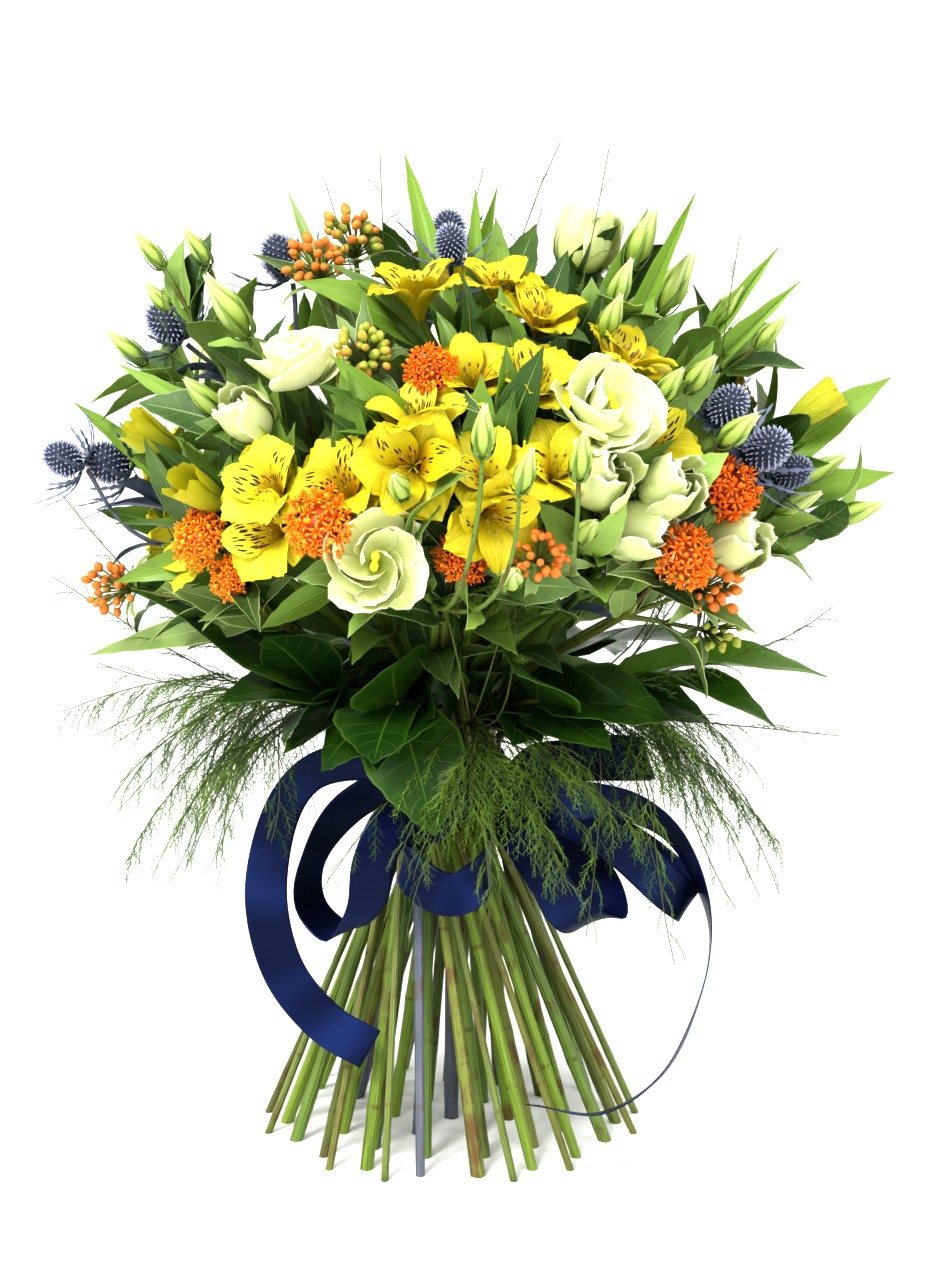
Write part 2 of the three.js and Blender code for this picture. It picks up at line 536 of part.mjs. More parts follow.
// A cubic curve from one point and heading to another, bowed sideways at its middle
function reachOver(from, headingFrom, to, headingTo, share, steps, bow) {
  const span = from.distanceTo(to) * share;
  const curve = new THREE.CubicBezierCurve3(
    from, from.clone().addScaledVector(headingFrom, span), to.clone().addScaledVector(headingTo, -span), to);
  return steps.map((t) => curve.getPoint(t).addScaledVector(bow, Math.sin(Math.PI * t)));
}

// A straight stalk, or one bowed aside at its middle
function bowed(from, to, bow) {
  if (bow.length() === 0) return [from, to];
  return [from, from.clone().lerp(to, 0.5).add(bow), to];
}

// Of several sideways bows, the one whose curve is least crowded
function leastCrowded(make, ahead, radius, owners, reaches) {
  const side = new THREE.Vector3(0, 0, 1).cross(ahead).normalize();
  const over = side.clone().cross(ahead);
  let best = null;
  for (const reach of reaches) {
    for (let i = 0; i < (reach === 0 ? 1 : 8); i++) {
      const a = (i * Math.PI) / 4;
      const bow = side.clone().multiplyScalar(Math.cos(a) * reach).addScaledVector(over, Math.sin(a) * reach);
      const points = make(bow);
      const score = crowding(alongLine(points, 5).slice(1), radius, owners) + reach * 0.02;
      if (best === null || score < best.score - 1e-6) best = { score, points };
    }
  }
  return best.points;
}

// Where a stem passes the tie, and where it is cut
function standing(stem) {
  const ring = RINGS[stem.ring];
  const a = ((stem.place + ring.first) * 360) / ring.places;
  const tie = heading(a + TURN_ABOVE, 0).multiplyScalar(ring.radius).setZ(TIE_HEIGHT);
  const foot = heading(a + TURN_ABOVE + TURN_BELOW, 0).multiplyScalar(ring.foot).setZ(0);
  return { tie, foot, turn: a + TURN_ABOVE };
}

// A form with every face moved outwards by the gap: the room that other nodes keep out of.
// A corner moves farther the sharper it is, up to four gaps.
function roomAbout(geometry) {
  const room = geometry.clone();
  const places = geometry.getAttribute("position");
  const index = geometry.getIndex().array;
  const corners = Array.from({ length: places.count }, () => ({ sum: new THREE.Vector3(), faces: [] }));
  for (let i = 0; i < index.length; i += 3) {
    const [a, b, c] = [0, 1, 2].map((k) => new THREE.Vector3().fromBufferAttribute(places, index[i + k]));
    const across = b.sub(a).cross(c.sub(a));
    const normal = across.clone().normalize();
    for (let k = 0; k < 3; k++) {
      corners[index[i + k]].sum.add(across);
      corners[index[i + k]].faces.push(normal);
    }
  }
  corners.forEach(({ sum, faces }, i) => {
    const ahead = sum.normalize();
    const least = Math.min(...faces.map((normal) => normal.dot(ahead)));
    const reach = GAP / Math.max(least, 0.25);
    const moved = new THREE.Vector3().fromBufferAttribute(places, i).addScaledVector(ahead, reach);
    room.getAttribute("position").setXYZ(i, moved.x, moved.y, moved.z);
  });
  room.computeBoundingBox();
  return room;
}

// The pieces of the bouquet: each form goes to its node with the room it keeps from others
const pieces = [];

function add(node, rank, geometry) {
  geometry.computeBoundingBox();
  pieces.push({ node, rank, geometry, room: roomAbout(geometry) });
}

const stems = [];

// Main stems: straight from the cut end to the tie, then curving out to the fork
function layStem(stem, target, aim) {
  const { tie, foot, turn } = standing(stem);
  const up = tie.clone().sub(foot).normalize();
  const thin = stem.ring === 4;
  const steps = thin ? [0.15, 0.5, 1] : [0.3, 1];
  const above = reachOver(tie, up, target, aim, 0.36, steps, new THREE.Vector3());
  const points = [foot, tie, ...above];
  const neck = thin ? THIN_STEM_RADIUS : STEM_RADIUS;
  const end = thin ? 1.6 : stem.heads.length > 1 ? 2.3 : 1.8;
  const footRadius = thin ? 2.3 : THREE.MathUtils.lerp(FOOT_RADIUS[0], FOOT_RADIUS[1], draw());
  const radii = [footRadius, RINGS[stem.ring].tied, ...steps.slice(1).map(() => neck), end];
  return { points, radii, turn };
}

// The end of a stalk at its head. A bud is the swollen end of its stalk.
function stalkEnd(head) {
  if (head.form !== "bud") return { points: [head.base], radii: [1.2] };
  const swell = [[0, 1.2], [0.45, BUD.radius], [1, 0]];
  return {
    points: swell.map(([share]) => head.base.clone().addScaledVector(head.facing, share * BUD.height * head.size)),
    radii: swell.map(([, radius]) => (radius > 2 ? radius * head.size : radius)),
  };
}

for (const stem of FLOWERING) {
  const heads = stem.heads.map(([form, az, el, reach, size, faceAz, faceEl]) => {
    const middle = onDome(az, el, reach);
    const facing = faceAz === undefined
      ? middle.clone().sub(new THREE.Vector3(DOME.x, 0, 300)).normalize()
      : heading(faceAz, faceEl);
    const base = middle.clone().addScaledVector(facing, -FORMS[form].depth * size);
    return { form, size, facing, base, middle };
  });
  const mean = heads.reduce((sum, head) => sum.add(head.base), new THREE.Vector3()).divideScalar(heads.length);
  const low = new THREE.Vector3(0, 0, TIE_HEIGHT + 20);
  const fork = low.clone().lerp(mean, FORK_AT);
  const aim = mean.clone().sub(low).normalize();
  const laid = layStem(stem, fork, aim);
  const end = stalkEnd(heads[0]);
  stems.push({
    ...stem, ...laid, points: [...laid.points, ...end.points], radii: [...laid.radii, ...end.radii],
    fork, aim, heads,
  });
}

for (const stem of COLLAR) {
  const { reach, height } = COLLAR_FORK[stem.kind];
  const fork = heading(stem.az, 0).multiplyScalar(reach).setZ(height);
  const aim = heading(stem.az, 12);
  const collar = { ...stem, ring: 4, heads: [] };
  stems.push({ ...collar, ...layStem(collar, fork, aim), fork, aim });
}

for (const stem of stems) {
  take(alongLine(stem.points.slice(1), 6), stem.radii[2], stem.name);
  const corner = heading(stem.turn, 0);
  add(stem.name, 0, tube(stem.points, stem.radii, 4, corner));
}

// Heads are placed before their stalks, so that no stalk runs through a neighbour's bloom
for (const stem of stems) {
  stem.heads.forEach((head, i) => {
    const form = FORMS[head.form];
    take([head.middle], form.ball * head.size, `${stem.name} ${i}`);
  });
}

// A stem ends in its first head, and the other heads' stalks leave it at the fork
for (const stem of stems) {
  stem.heads.forEach((head, i) => {
    if (i > 0) {
      const from = stem.fork.clone().addScaledVector(stem.aim, -1);
      const ahead = head.base.clone().sub(from).normalize();
      const owners = [stem.name, `${stem.name} ${i}`];
      const stalk = leastCrowded((bow) => bowed(from, head.base, bow), ahead, 1.5, owners, [0, 6, 12, 20]);
      take(alongLine(stalk, 5), 1.5, stem.name);
      const end = stalkEnd(head);
      const radii = [1.7, 1.4].slice(0, stalk.length - 1);
      const sides = head.form === "bud" ? 4 : 3;
      add(stem.name, 0, tube([...stalk.slice(0, -1), ...end.points], [...radii, ...end.radii], sides));
    }
    if (head.form === "bud") return;
    const seat = head.base.clone().addScaledVector(head.facing, -1.5);
    const spin = draw() * Math.PI * 2;
    add(stem.name, 1, stood(FORMS[head.form].make(head.size), seat, head.facing, spin));
  });
}

// Points spread over a leaf, for finding room for it
function leafSamples(base, tip, half, up) {
  const ahead = tip.clone().sub(base);
  const side = ahead.clone().cross(up).normalize();
  const points = [];
  for (const u of [0.3, 0.5, 0.7, 0.9]) {
    const w = half * (u < 0.8 ? 0.75 : 0.35);
    const middle = base.clone().addScaledVector(ahead, u).addScaledVector(up, Math.sin(Math.PI * u) * 4);
    points.push(middle, middle.clone().addScaledVector(side, w), middle.clone().addScaledVector(side, -w));
  }
  return points;
}

// A leaf rolls about its rib to where it has most room
function growLeaf(stem, { base, tip, up: upward, half, widths, bend }) {
  const ahead = tip.clone().sub(base).normalize();
  let best = null;
  for (const roll of [0, 25, -25, 50, -50]) {
    const turned = upward.clone().applyAxisAngle(ahead, radians(roll));
    const score = crowding(leafSamples(base, tip, half, turned), 1, [stem.name]) + Math.abs(roll) * 0.02;
    if (best === null || score < best.score) best = { score, turned };
  }
  const up = best.turned;
  take(leafSamples(base, tip, half, up), 1, stem.name);
  add(stem.name, 2, blade({ base, tip, up, widths, half, bend, wave: 0.05 }));
}

// Leaves with a place of their own in the outline
function stemNamed(name) {
  return stems.find((stem) => stem.name === name);
}

for (const [name, [x, y, z], half] of LONG_LEAVES) {
  const stem = stemNamed(name);
  const tip = new THREE.Vector3(x, y, z);
  const base = stem.fork.clone().addScaledVector(stem.aim, -3);
  const up = new THREE.Vector3(0, -0.5, 1).normalize();
  growLeaf(stem, { base, tip, up, half, widths: BROAD_WIDTHS, bend: 22 });
}

// A fern frond: a thin drooping rib with pointed twigs in pairs, right and left
function growFrond(node, from, aim, tip, twigs) {
  const drop = new THREE.Vector3(0, 0, -0.6).add(tip.clone().sub(from).normalize()).normalize();
  const span = from.distanceTo(tip) * 0.4;
  const spine = new THREE.CubicBezierCurve3(
    from, from.clone().addScaledVector(aim, span), tip.clone().addScaledVector(drop, -span), tip);
  const side = new THREE.Vector3(0, 0, 1).cross(tip.clone().sub(from)).normalize();
  const rows = Math.ceil(twigs / 2) + 1;
  const rib = spine.getSpacedPoints(rows);
  add(node, 2, tube(rib, rib.map((_, i) => FROND.rib * (1 - i / rows)), 3));
  for (let i = 0; i < twigs; i++) {
    const row = 1 + Math.floor(i / 2);
    const hand = i % 2 ? 1 : -1;
    const reach = FROND.twig * (1 - (0.6 * row) / rows) * (0.8 + 0.2 * (i % 3));
    const ahead = rib[row + 1].clone().sub(rib[row]).normalize();
    const end = rib[row].clone().addScaledVector(ahead, reach * 0.8).addScaledVector(side, hand * reach * 0.6);
    add(node, 2, tube([rib[row], rib[row].clone().lerp(end, 0.25), end], [0, FROND.swell, 0], 3));
  }
}

// Salal leaves and fern fronds of the collar
for (const stem of stems.filter((one) => one.tips)) {
  stem.tips.forEach(([x, y, z, size], i) => {
    const tip = new THREE.Vector3(x, y, z);
    if (stem.kind === "salal") {
      const base = stem.fork.clone().addScaledVector(stem.aim, -2);
      const up = new THREE.Vector3(x, y, 0).normalize().multiplyScalar(0.8).setZ(0.8);
      growLeaf(stem, { base, tip, up, half: size, widths: BROAD_WIDTHS, bend: 38 });
    } else {
      const from = stem.fork.clone().addScaledVector(stem.aim, -1 - 3 * i);
      growFrond(stem.name, from, stem.aim, tip, size);
    }
  });
}

// Leaves by rule: one on every flowering stem of the outer rings, below the fork and turned
// round it to where it has room
const LEAF_RULE = {
  alstroemeria: { length: 78, half: 9, bend: 35 },
  lisianthus: { length: 52, half: 11, bend: 25 },
};

for (const stem of stems.filter((one) => LEAF_RULE[one.kind] && one.ring > 1)) {
  const rule = LEAF_RULE[stem.kind];
  const base = stem.fork.clone().addScaledVector(stem.aim, -5);
  const out = new THREE.Vector3(0, 0, 1).cross(stem.aim).normalize();
  const over = out.clone().cross(stem.aim);
  let best = null;
  for (let turn = 0; turn < 8; turn++) {
    const a = radians(45 * turn);
    const lean = stem.aim.clone().multiplyScalar(0.7)
      .addScaledVector(out, 0.75 * Math.cos(a)).addScaledVector(over, 0.75 * Math.sin(a)).normalize();
    const tip = base.clone().addScaledVector(lean, rule.length);
    const up = stem.aim.clone().addScaledVector(lean, -stem.aim.dot(lean)).normalize();
    const score = crowding(leafSamples(base, tip, rule.half, up), 1, [stem.name]) + turn * 0.01;
    if (best === null || score < best.score) best = { score, tip, up };
  }
  growLeaf(stem, { base, ...best, half: rule.half, widths: LEAF_WIDTHS, bend: rule.bend });
}

// A ribbon strip bent through its places, gathered to a narrow bunch where it enters the knot
function strip({ out, back, places, across }) {
  const knot = new THREE.Vector3(KNOT.x, KNOT.y, KNOT.z);
  const ends = [out, back].filter(Boolean)
    .map((toward) => knot.clone().addScaledVector(new THREE.Vector3(...toward).normalize(), KNOT.radius * 0.8));
  const middle = [ends[0], ...places.map((place) => new THREE.Vector3(...place)), ...ends.slice(1)];
  const sideways = [across[0], ...across, ...(back ? [across[across.length - 1]] : [])];
  const rows = middle.length - 1;
  const width = middle.map((_, i) => RIBBON.width * (i === 0 || (back && i === rows) ? RIBBON.gathered : 1));
  const geometry = alikeFaces(bare(new THREE.BoxGeometry(rows, 1, 1, rows, 1, 1)));
  return shaped(geometry, (v) => {
    const row = Math.round(v.x + rows / 2);
    const ahead = middle[Math.min(row + 1, rows)].clone().sub(middle[Math.max(row - 1, 0)]).normalize();
    const side = new THREE.Vector3(...sideways[row]);
    side.addScaledVector(ahead, -side.dot(ahead)).normalize();
    return middle[row].clone().addScaledVector(side, v.y * width[row])
      .addScaledVector(ahead.cross(side), v.z * RIBBON.thick);
  });
}

// The band: a narrow collar round all the stems, with the knot on it
function ribbonBand() {
  const [[low, bottom], [high, top]] = BAND;
  const outline = [[low, bottom], [low + 1.5, bottom], [high + 1.5, top], [high, top], [low, bottom]];
  return bare(new THREE.LatheGeometry(outline.map(([r, z]) => new THREE.Vector2(r, z)), 16)).rotateX(Math.PI / 2);
}

function ribbonKnot() {
  const knot = bare(new THREE.SphereGeometry(1, 8, 5));
  knot.scale(KNOT.radius, KNOT.radius * 0.85, KNOT.radius);
  knot.rotateZ(Math.atan2(KNOT.x, -KNOT.y));
  return knot.translate(KNOT.x, KNOT.y, KNOT.z);
}

add("ribbon_band", 0.5, outward(ribbonBand()));
add("ribbon_band", 0.5, outward(ribbonKnot()));
for (const one of STRIPS) add(one.name, 1.5, strip(one));

function boxesMeet(a, b) {
  return a.boundingBox.intersectsBox(b.boundingBox);
}

// Cuts each form clear of the room of other nodes' earlier forms, and joins it to its node
function joinAll() {
  const nodes = new Map();
  const ordered = pieces.slice().sort((a, b) => a.rank - b.rank);
  ordered.forEach((piece, i) => {
    let solid = solidOf(piece.geometry);
    for (let j = 0; j < i; j++) {
      const other = ordered[j];
      if (other.node === piece.node || !boxesMeet(piece.geometry, other.room)) continue;
      other.roomSolid ??= solidOf(other.room).add(solidOf(other.geometry));
      if (solid.intersect(other.roomSolid).isEmpty()) continue;
      solid = solid.subtract(other.roomSolid);
    }
    if (solid.isEmpty()) return;
    nodes.set(piece.node, nodes.has(piece.node) ? nodes.get(piece.node).add(solid) : solid);
  });
  return nodes;
}

const COLOURS = {
  alstroemeria: YELLOW, lisianthus: CREAM, milkweed: ORANGE, sea: BLUE_GREY, salal: LEAF_GREEN,
  fern: FERN_GREEN, ribbon: NAVY,
};

const bouquet = new THREE.Group();
bouquet.name = "mixed_bouquet";

for (const [name, solid] of joinAll()) {
  const colour = COLOURS[name.split("_")[0]];
  const material = new THREE.MeshStandardMaterial({ color: colour, roughness: 0.6, metalness: 0 });
  const mesh = new THREE.Mesh(mainBody(solid), material);
  mesh.name = name;
  bouquet.add(mesh);
}

export default bouquet;
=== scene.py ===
"""A hand-tied mixed bouquet standing on its splayed cut stems, tied with a navy satin ribbon."""
from math import atan2, ceil, cos, hypot, pi, radians, sin, sqrt
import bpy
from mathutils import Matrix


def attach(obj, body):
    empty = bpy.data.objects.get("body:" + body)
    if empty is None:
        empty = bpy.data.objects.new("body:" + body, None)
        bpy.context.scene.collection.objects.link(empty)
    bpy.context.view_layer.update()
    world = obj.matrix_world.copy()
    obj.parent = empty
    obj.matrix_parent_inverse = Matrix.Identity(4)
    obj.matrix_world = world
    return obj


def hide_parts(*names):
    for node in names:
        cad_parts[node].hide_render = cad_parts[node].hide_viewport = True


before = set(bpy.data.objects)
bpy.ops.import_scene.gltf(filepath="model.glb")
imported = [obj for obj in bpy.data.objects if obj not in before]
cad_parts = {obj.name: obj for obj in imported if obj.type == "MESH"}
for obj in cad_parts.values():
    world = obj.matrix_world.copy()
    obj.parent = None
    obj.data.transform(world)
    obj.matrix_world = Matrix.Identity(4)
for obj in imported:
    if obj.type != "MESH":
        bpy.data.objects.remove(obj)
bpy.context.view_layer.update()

from types import SimpleNamespace

import bmesh
import bpy
import numpy as np
from mathutils import Matrix, Quaternion, Vector


# Camera
# The photographer stood a step back at the height of the blooms and looked slightly down.
def set_up(name, data):
    """A new object in the scene"""
    made = bpy.data.objects.new(name, data)
    bpy.context.scene.collection.objects.link(made)
    return made


lens = bpy.data.cameras.new("camera")
lens.lens = 70
lens.sensor_width = 36
camera = set_up("camera", lens)
camera.location = (0.012, -1.5, 0.527)
camera.rotation_euler = (radians(81.5), 0, 0)
bpy.context.scene.camera = camera


# Studio
# A white paper sweep under soft, nearly shadowless light: a bright room, one large soft box
# high on the left in front, and a weaker one on the right.
class Wire:
    """A socket of a material, written in sums with numbers and other sockets"""

    def __init__(self, tree, socket=None):
        self.tree = tree
        self.socket = socket

    def node(self, kind, settings, sockets, out=0):
        made = self.tree.nodes.new(kind)
        for name, value in settings.items():
            setattr(made, name, value)
        for key, value in sockets.items():
            if isinstance(value, Wire):
                self.tree.links.new(value.socket, made.inputs[key])
            else:
                colour = isinstance(value, tuple)
                made.inputs[key].default_value = (*value, 1) if colour else value
        return Wire(self.tree, made.outputs[out])

    def math(self, operation, *values):
        return self.node("ShaderNodeMath", {"operation": operation}, dict(enumerate(values)))

    def __add__(self, other):
        return self.math("ADD", self, other)

    def __sub__(self, other):
        return self.math("SUBTRACT", self, other)

    def __rsub__(self, other):
        return self.math("SUBTRACT", other, self)

    def __mul__(self, other):
        return self.math("MULTIPLY", self, other)

    def __abs__(self):
        return self.math("ABSOLUTE", self)

    __radd__ = __add__
    __rmul__ = __mul__

    def over(self, low, high):
        """0 below low and 1 above high, with a soft step between"""
        return self.node("ShaderNodeMapRange", {"interpolation_type": "SMOOTHSTEP"},
                         {"Value": self, "From Min": low, "From Max": high})

    def mixed(self, under, above):
        """One colour or another, by this value"""
        return self.node("ShaderNodeMix", {"data_type": "RGBA"}, {0: self, 6: under, 7: above}, out=2)

    def noise(self, place, scale, detail):
        return self.node("ShaderNodeTexNoise", {},
                         {"Vector": place, "Scale": scale, "Detail": detail})

    def cloud(self, scale, detail):
        """Noise in the object's own space"""
        return self.noise(self.node("ShaderNodeTexCoord", {}, {}, out=3), scale, detail)

    def joined(self, x, y, z):
        return self.node("ShaderNodeCombineXYZ", {}, {0: x, 1: y, 2: z})

    def feeds(self, socket):
        """Leads this value to a socket of the shader"""
        shader = self.tree.nodes["Principled BSDF"]
        self.tree.links.new(self.socket, shader.inputs[socket])

    def raises(self, distance, strength=0.6):
        """Makes this value the height of a fine relief"""
        self.node("ShaderNodeBump", {}, {"Strength": strength, "Distance": distance,
                                         "Height": self}).feeds("Normal")


def finish(name, roughness, glow=0.0, depth=(1, 0.2, 0.1), **levels):
    """A new material and a loose wire to start its nodes from; light glows through it to a
    depth for red, green and blue"""
    material = bpy.data.materials.new(name)
    material.use_nodes = True
    inputs = material.node_tree.nodes["Principled BSDF"].inputs
    levels.update(Roughness=roughness, Subsurface_Weight=glow, Subsurface_Radius=depth)
    for level, value in levels.items():
        inputs[level.replace("_", " ")].default_value = value
    return material, Wire(material.node_tree)


def speckled(name, roughness, scale, step, dark, light):
    """A dull finish of fine specks in two tones, with a soft or a sharp step between them"""
    material, wire = finish(name, roughness)
    specks = wire.node("ShaderNodeTexNoise", {}, {"Scale": scale})
    specks.over(0.5 - step, 0.5 + step).mixed(dark, light).feeds("Base Color")
    return material


def gathered(form, name="form"):
    """The mesh of what was modelled"""
    mesh = bpy.data.meshes.new(name)
    form.to_mesh(mesh)
    form.free()
    return mesh


world = bpy.data.worlds.new("bright_room")
world.use_nodes = True
room_light = world.node_tree.nodes["Background"].inputs
room_light["Color"].default_value = (1, 1, 1, 1)
room_light["Strength"].default_value = 1.0
bpy.context.scene.world = world
bpy.context.scene.view_settings.view_transform = "Standard"
bpy.context.scene.view_settings.look = "High Contrast"


def soft_box(name, place, aim, width, power):
    lamp = bpy.data.lights.new(name, "AREA")
    lamp.size = width
    lamp.energy = power
    box = set_up(name, lamp)
    box.location = place
    box.rotation_euler = (Vector(aim) - Vector(place)).to_track_quat("-Z", "Y").to_euler()


soft_box("soft_box_left", (-0.9, -1.5, 1.9), (0, 0, 0.4), 0.8, 42)
soft_box("soft_box_right", (1.6, -1.2, 1.1), (0, 0, 0.3), 1.2, 10)

PAPER_WIDTH = 14
paper = bmesh.new()
bmesh.ops.create_grid(paper, x_segments=2, y_segments=2, size=PAPER_WIDTH / 2)
sweep = set_up("paper_sweep", gathered(paper, "paper_sweep"))
sweep.data.materials.append(
    speckled("white_paper", 0.9, 60.0, 0.2, (0.93, 0.93, 0.93), (0.95, 0.95, 0.95)))

# Plan of the bunch
# Millimetres here, as on a florist's sketch; each finished mesh is brought to metres. The
# stems cross in one spiral at the tie, in rings about a middle stem, and stand splayed on
# their cut ends, and the heads lie on a dome.
TIE_HEIGHT = 232
TURN_BELOW = 60
TURN_ABOVE = 25
# A ring: its places, its radius at the tie and at the foot, its first place, and the radius of
# its stems in the tie. The collar's thin stems are in the last ring.
RINGS = [
    (1, 0, 0, 0, 3.15),
    (6, 6.9, 36, 0, 3.5),
    (13, 14.2, 72, -0.5, 3.15),
    (19, 21.7, 103, 0, 3.15),
    (19, 28.4, 116, 0.5, 2),
]
COLLAR_RING = 4
# Radii of a stem above the tie and at its fork, and at the foot
STEM_RADIUS, FORK_RADIUS, FOOT_RADIUS = 2.7, 2.2, (2.6, 4.4)
THIN_STEM_RADIUS, THIN_FORK_RADIUS, THIN_FOOT_RADIUS = 2, 1.6, 2.3
STALK_RADIUS = 1.5
ROUTE_STEPS = 8
DOME_X, DOME_Z = 5, 385
DOME_SIDE, DOME_UP, DOME_DOWN = 205, 165, 130
FACED_FROM = Vector((DOME_X, 0, 300))
BRANCHED_FROM = Vector((0, 0, TIE_HEIGHT + 20))
FORK_AT = 0.72
COLLAR_FORK = {"salal": (98, 280), "fern": (80, 266)}
# How far the base of a head lies behind its middle, and the radius of the room it takes
HEAD_ROOM = {"lily": (22, 19), "tube": (20, 12), "rose": (17, 21), "cup": (20, 15),
             "bud": (13, 7), "cluster": (15, 18), "berries": (17, 15), "thistle": (14, 14)}

# A stem's ring, its place in it and its heads. A head is form, azimuth (0 at the front, growing
# to the right) and elevation; then reach and size, where they aren't 1, and two numbers more
# where its face is turned another way.
FLOWERING = [
    ("sea_holly_left", 3, -5, [("thistle", -83, 9, 1.02), ("thistle", -82, 9, 1.15, 0.9)]),
    ("milkweed_left", 3, -4, [("cluster", -46, -2, 0.98, 0.8), ("berries", -76, -17, 1.1),
                              ("cluster", -42, -12, 0.95, 0.6)]),
    ("alstroemeria_left", 3, -3, [("tube", -64, 17), ("tube", -45, 8),
                                  ("lily", -52, -6, 0.94, 0.85)]),
    ("alstroemeria_front_left", 3, -2, [("lily", -31, 10, 1, 1, -25, 25),
                                        ("lily", -32, 0, 0.97, 1, -30, 0), ("lily", -18, 11)]),
    ("lisianthus_front", 3, -1, [("rose", -13, -4, 1.02, 1.12, 2, 12), ("bud", -8, 10, 1.08),
                                 ("bud", 8, -8, 1.02, 1.1)]),
    ("milkweed_front", 3, 0, [("cluster", -22, 1, 1, 0.95), ("cluster", 1, -4, 0.9, 0.75),
                              ("berries", 13, -3, 1, 0.9)]),
    ("alstroemeria_front", 3, 1, [("lily", 6, 3, 0.98, 1, 20, -15), ("lily", 5, 14, 0.97, 0.9),
                                  ("lily", 17, 15, 0.97)]),
    ("lisianthus_front_right", 3, 2, [("cup", 31, 0, 0.95, 1.05, 60, 0), ("cup", 50, -4),
                                      ("bud", 19, 2, 1.02)]),
    ("milkweed_right", 3, 3, [("cluster", 37, -5, 1.02, 0.85), ("cluster", 50, 8, 0.98, 0.95),
                              ("berries", 47, -14), ("berries", 58, -28, 1, 0.9)]),
    ("lisianthus_right", 3, 4, [("bud", 69, 3, 1.02), ("bud", 82, 8, 1.06, 1.2),
                                ("bud", 80, 0, 1.16, 1.1), ("bud", 88, -4, 1.08)]),
    ("alstroemeria_right", 3, 5, [("tube", 84, 20, 1.12), ("tube", 98, 12)]),
    ("milkweed_back_right", 3, 6, [("cluster", 110, 6), ("bud", 120, -6, 1, 0.9)]),
    ("lisianthus_back_right", 3, 7, [("rose", 133, 4), ("bud", 144, 15, 1.04)]),
    ("alstroemeria_back_right", 3, 8, [("lily", 151, 0), ("lily", 162, 10)]),
    ("milkweed_back", 3, 9, [("cluster", 174, -5, 1, 0.95), ("berries", 184, 8, 1.02)]),
    ("alstroemeria_back_left", 3, 10, [("lily", 190, 8, 0.97), ("lily", 198, -4)]),
    ("lisianthus_back_left", 3, 11, [("rose", 212, 4), ("cup", 221, 15, 1, 0.9)]),
    ("milkweed_back_left", 3, 12, [("cluster", 235, 2)]),
    ("alstroemeria_far_left", 3, 13, [("lily", 250, 8, 0.98, 0.95), ("lily", 246, -8)]),
    ("lisianthus_high_left", 2, -3, [("bud", -82, 46, 1.28, 0.9), ("bud", -82, 51, 1.2, 0.9),
                                     ("bud", -84, 41, 1.15, 0.8), ("bud", -84, 31, 1.12)]),
    ("lisianthus_left", 2, -2, [("bud", -57, 44, 1.05, 1.5), ("rose", -31, 36, 1.02, 1, -40, 70),
                                ("bud", -47, 25, 1.02, 1.2), ("cup", -37, 23, 1.02, 0.85)]),
    ("milkweed_high", 2, -1, [("cluster", -5, 34, 0.98, 0.7), ("berries", -18, 37, 1.02)]),
    ("alstroemeria_middle", 2, 0, [("lily", -7, 14, 1.02, 1.1, -6, 8),
                                   ("lily", -7, 26, 1, 1, -15, 65), ("lily", 3, 35, 0.95, 0.9)]),
    ("alstroemeria_upper", 2, 1, [("lily", 16, 33, 0.97, 0.9), ("lily", 36, 37, 1, 1, 60, 60),
                                  ("lily", 37, 20, 0.95)]),
    ("lisianthus_middle_right", 2, 2, [("rose", 25, 25, 1.02, 1.1), ("cup", 23, 11, 1.02),
                                       ("cup", 34, 9, 1.03), ("bud", 36, 27, 1.06),
                                       ("bud", 44, 29, 1.06), ("bud", 47, 18, 1.07, 1.1)]),
    ("sea_holly_right", 2, 3, [("thistle", 50, 23, 1.02, 0.9), ("thistle", 55, 14, 1.04),
                               ("thistle", 66, 9, 1.02, 0.8)]),
    ("lisianthus_high_right", 2, 4, [("bud", 86, 43, 1.06), ("bud", 84, 52, 1.02, 1.4),
                                     ("bud", 84, 35, 1.1, 0.9)]),
    ("alstroemeria_high_right", 2, 5, [("lily", 122, 30), ("lily", 110, 26, 0.98, 0.9)]),
    ("sea_holly_back", 2, 6, [("thistle", 155, 31, 1.04)]),
    ("lisianthus_high_back", 2, 7, [("rose", 182, 28), ("bud", 172, 38, 1.05)]),
    ("alstroemeria_high_back", 2, 8, [("lily", 206, 30), ("lily", 218, 34, 1, 0.9)]),
    ("lisianthus_high_far_left", 2, 9, [("cup", 238, 30, 1.02), ("bud", 248, 24, 1.05)]),
    ("milkweed_top_left", 1, -1, [("berries", -78, 72, 1.06, 1.1), ("berries", -58, 62, 1.04)]),
    ("alstroemeria_top", 1, 0, [("lily", -12, 57, 1, 1, -20, 75), ("lily", 14, 60, 0.98, 0.85),
                                ("lily", 22, 50, 0.97, 0.9)]),
    ("lisianthus_top_right", 1, 1, [("cup", 82, 69, 1.06, 1.1), ("bud", 80, 61, 1.1, 1.3),
                                    ("bud", 45, 52, 1.02, 1.1), ("bud", 33, 43, 1.03)]),
    ("lisianthus_top_back", 1, 2, [("cup", 120, 52), ("bud", 104, 58, 1.04)]),
    ("alstroemeria_top_back", 1, 3, [("lily", 176, 56), ("lily", 200, 64, 0.98, 0.9)]),
    ("sea_holly_high_left", 1, 4, [("thistle", -86, 38, 1.06), ("thistle", -88, 60, 1.02)]),
    ("sea_holly_top", 0, 0, [("thistle", -4, 72, 0.98, 0.8), ("thistle", 190, 80, 1, 0.9)]),
]

